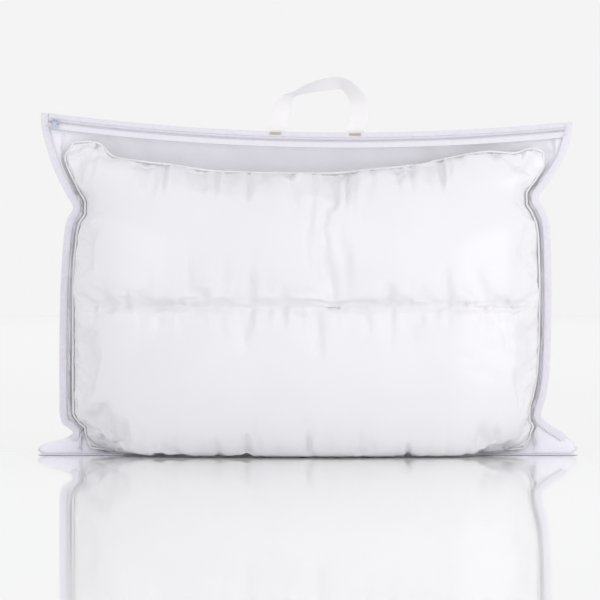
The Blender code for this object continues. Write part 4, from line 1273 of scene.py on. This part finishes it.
def light_the_room():
    world = bpy.data.worlds.new("white room")
    world.use_nodes = True
    background = world.node_tree.nodes["Background"]
    background.inputs["Color"].default_value = linear("#F4F4F4")
    background.inputs["Strength"].default_value = 1.0
    bpy.context.scene.world = world
    softbox("key", (1.6, -1.5, 0.50), (0.15, 0, 0.2), (0.9, 1.2), 10.5, "#FFFEFC")
    softbox("fill", (-1.5, -1.8, 0.7), (-0.1, 0, 0.2), (0.8, 1.2), 4.5, "#FEFEFF")
    softbox("front", (0.5, -4.6, 0.30), (0, 0, 0.06), (4.0, 0.5), 11.0, "#FFFFFF")
    bpy.context.scene.view_settings.view_transform = "Standard"


def set_camera():
    """Level with the middle of the picture, straight in front."""
    wide, lens, sensor = 0.8256, 165.0, 36.0
    camera = bpy.data.cameras.new("camera")
    camera.lens = lens
    camera.sensor_width = sensor
    camera.clip_end = 100
    holder = bpy.data.objects.new("camera", camera)
    holder.location = (-0.011, -wide * lens / sensor, 0.213)
    holder.rotation_euler = (math.pi / 2, 0, 0)
    bpy.context.scene.collection.objects.link(holder)
    bpy.context.scene.camera = holder


# ---- Putting it together ----

def seam_line(pillow, x_from, x_to):
    """Places on the front of the pillow along its middle seam."""
    tree = BVHTree.FromObject(pillow, bpy.context.evaluated_depsgraph_get())
    line = []
    for x in np.linspace(x_from, x_to, 170):
        z = float(lifted(x, CENTRE_SEAM))
        hit = tree.ray_cast(Vector((x, -0.4, z)), Vector((0, 1, 0)))[0]
        if hit is not None:
            line.append((x, hit.y - THREAD_STAND, z))
    return line


def binding_line(sign):
    place, inward, front = side_stations(sign, 0.034, BAND_TOP - 0.002)
    reach = BINDING_WIDTH * 0.68
    return place + inward * reach + front * (BINDING_FACE + THREAD_STAND)


def strip_line(d, n, inset=0.0):
    left, right = band_reach(-1, d) + BINDING_WIDTH + inset, band_reach(1, d) - BINDING_WIDTH - inset
    return band(np.linspace(left, right, 240), d, n)


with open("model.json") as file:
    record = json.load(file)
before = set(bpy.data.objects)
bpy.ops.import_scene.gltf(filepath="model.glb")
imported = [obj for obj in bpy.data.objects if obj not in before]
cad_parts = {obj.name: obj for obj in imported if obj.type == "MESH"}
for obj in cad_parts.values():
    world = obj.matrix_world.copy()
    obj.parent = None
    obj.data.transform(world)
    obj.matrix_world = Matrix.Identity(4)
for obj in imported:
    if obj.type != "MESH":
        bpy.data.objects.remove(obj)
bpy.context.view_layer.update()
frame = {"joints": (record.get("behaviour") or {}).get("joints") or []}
set_camera()
light_the_room()
make_table(glossy_table())

cotton = cotton_ticking()
film_look = clear_film()
backing_look = spunbonded_backing()
binding_look = ribbed_tape(
    "polyester binding tape, woven and folded", "#DDDAE6", "#F1EFF6", 0.0016, 0.00025, 0.75,
)
tape_look = ribbed_tape("polyester zip tape, woven", "#E2E0EA", "#F3F2F7", 0.0012, 0.00015, 0.7)
webbing_look = strap_webbing()
coil_look = coil_nylon()
white_thread = spun_thread("polyester thread, spun white", "#E2E0E6", "#FAF9FA")
beige_thread = spun_thread("polyester thread, spun beige", "#BCA888", "#DCCDB2")
enamel = slider_enamel()

pillow = make_pillow(cotton)
piping = make_piping(cotton)
backing = make_panel(
    "backing_panel", backing_look, 1, BACKING_LAYER, BACKING_TOP,
    [BINDING_FOOT + GAP, BINDING_CREST - BINDING_WALL - GAP], [pillow],
    wall=BINDING_WALL, growth=0.014, bending=1.5, seed=8.0,
)
film = make_panel(
    "film_front", film_look, -1, FILM_LAYER, -TAPE_EDGE, [-FILM_TOP], [pillow, backing],
    wall=0.0003, growth=0.010, bending=0.6, seed=3.0,
)
film.visible_shadow = False
bindings = [
    make_side_binding("binding_left_tape", -1, binding_look),
    make_side_binding("binding_right_tape", 1, binding_look),
    make_top_binding(binding_look),
    make_base_tape(binding_look),
]

upper_tape = make_zip_tape("zip_tape_top_half", TAPE_GAP, BINDING_CREST - BINDING_WALL - GAP, tape_look)
lower_tape = make_zip_tape("zip_tape_bottom_half", -TAPE_EDGE, -TAPE_GAP, tape_look)

# Every piece, the body it rides and the parts of the model that it stands for.
pieces = [
    (pillow, "bag", "ticking_front", "ticking_back", "fibre_fill"),
    (piping, "bag", "edge_piping"),
    (film, "bag", "front_window"),
    (backing, "bag", "back_panel"),
    (upper_tape, "bag", "zip_tape_upper"),
    (lower_tape, "bag", "zip_tape_lower"),
]
binding_nodes = ("binding_left", "binding_right", "binding_top", "binding_bottom")
pieces += [(tape, "bag", node) for tape, node in zip(bindings, binding_nodes)]

coils, coil_names = coil_tree()
for name, node, d, slant, shift in (
    ("coil_top_half", "zip_coil_upper", 0.00135, 0.35, 0.0),
    ("coil_bottom_half", "zip_coil_lower", -0.00135, -0.35, 0.5),
):
    line = strip_line(d, 0.00155, 0.0005)
    line[:, 0] += COIL_PITCH * shift
    pieces.append((grown(name, [line], coils, coil_names, look=coil_look, slant=slant), "bag", node))

stitches, stitch_names = stitch_tree()
row_sizes = {"pitch": STITCH_PITCH, "length": 0.0029, "thread": 0.0006}
tack_sizes = {"pitch": 0.0011, "length": 0.0016, "thread": 0.0005}
top_row = strip_line(BINDING_FOOT + 0.0018, BINDING_FACE + THREAD_STAND)
window_row = strip_line(-0.0085, TAPE_FACE + THREAD_STAND)
for name, node, line, look, sizes in (
    ("stitches_left", "thread_left", binding_line(-1), white_thread, row_sizes),
    ("stitches_right", "thread_right", binding_line(1), white_thread, row_sizes),
    ("stitches_top", "thread_top", top_row, white_thread, row_sizes),
    ("stitches_window", "thread_window", window_row, white_thread, row_sizes),
    ("stitches_centre_seam", "centre_seam_thread", seam_line(pillow, -0.315, 0.310), white_thread, row_sizes),
    ("tack_left", "handle_stitch_left", tack_line(HANDLE_LEFT), beige_thread, tack_sizes),
    ("tack_right", "handle_stitch_right", tack_line(HANDLE_RIGHT), beige_thread, tack_sizes),
):
    pieces.append((grown(name, [line], stitches, stitch_names, look=look, **sizes), "bag", node))

pieces += [
    (make_strap_foot("strap_foot_left", HANDLE_LEFT, webbing_look), "bag", "handle_foot_left"),
    (make_strap_foot("strap_foot_right", HANDLE_RIGHT, webbing_look), "bag", "handle_foot_right"),
    (make_strap(webbing_look), "handle", "handle_strap"),
    (make_slider(enamel), "slider", "zip_slider"),
    (make_pull(enamel), "pull", "zip_pull_tab"),
]

for piece, body, *nodes in pieces:
    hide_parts(*nodes)
    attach(piece, body)
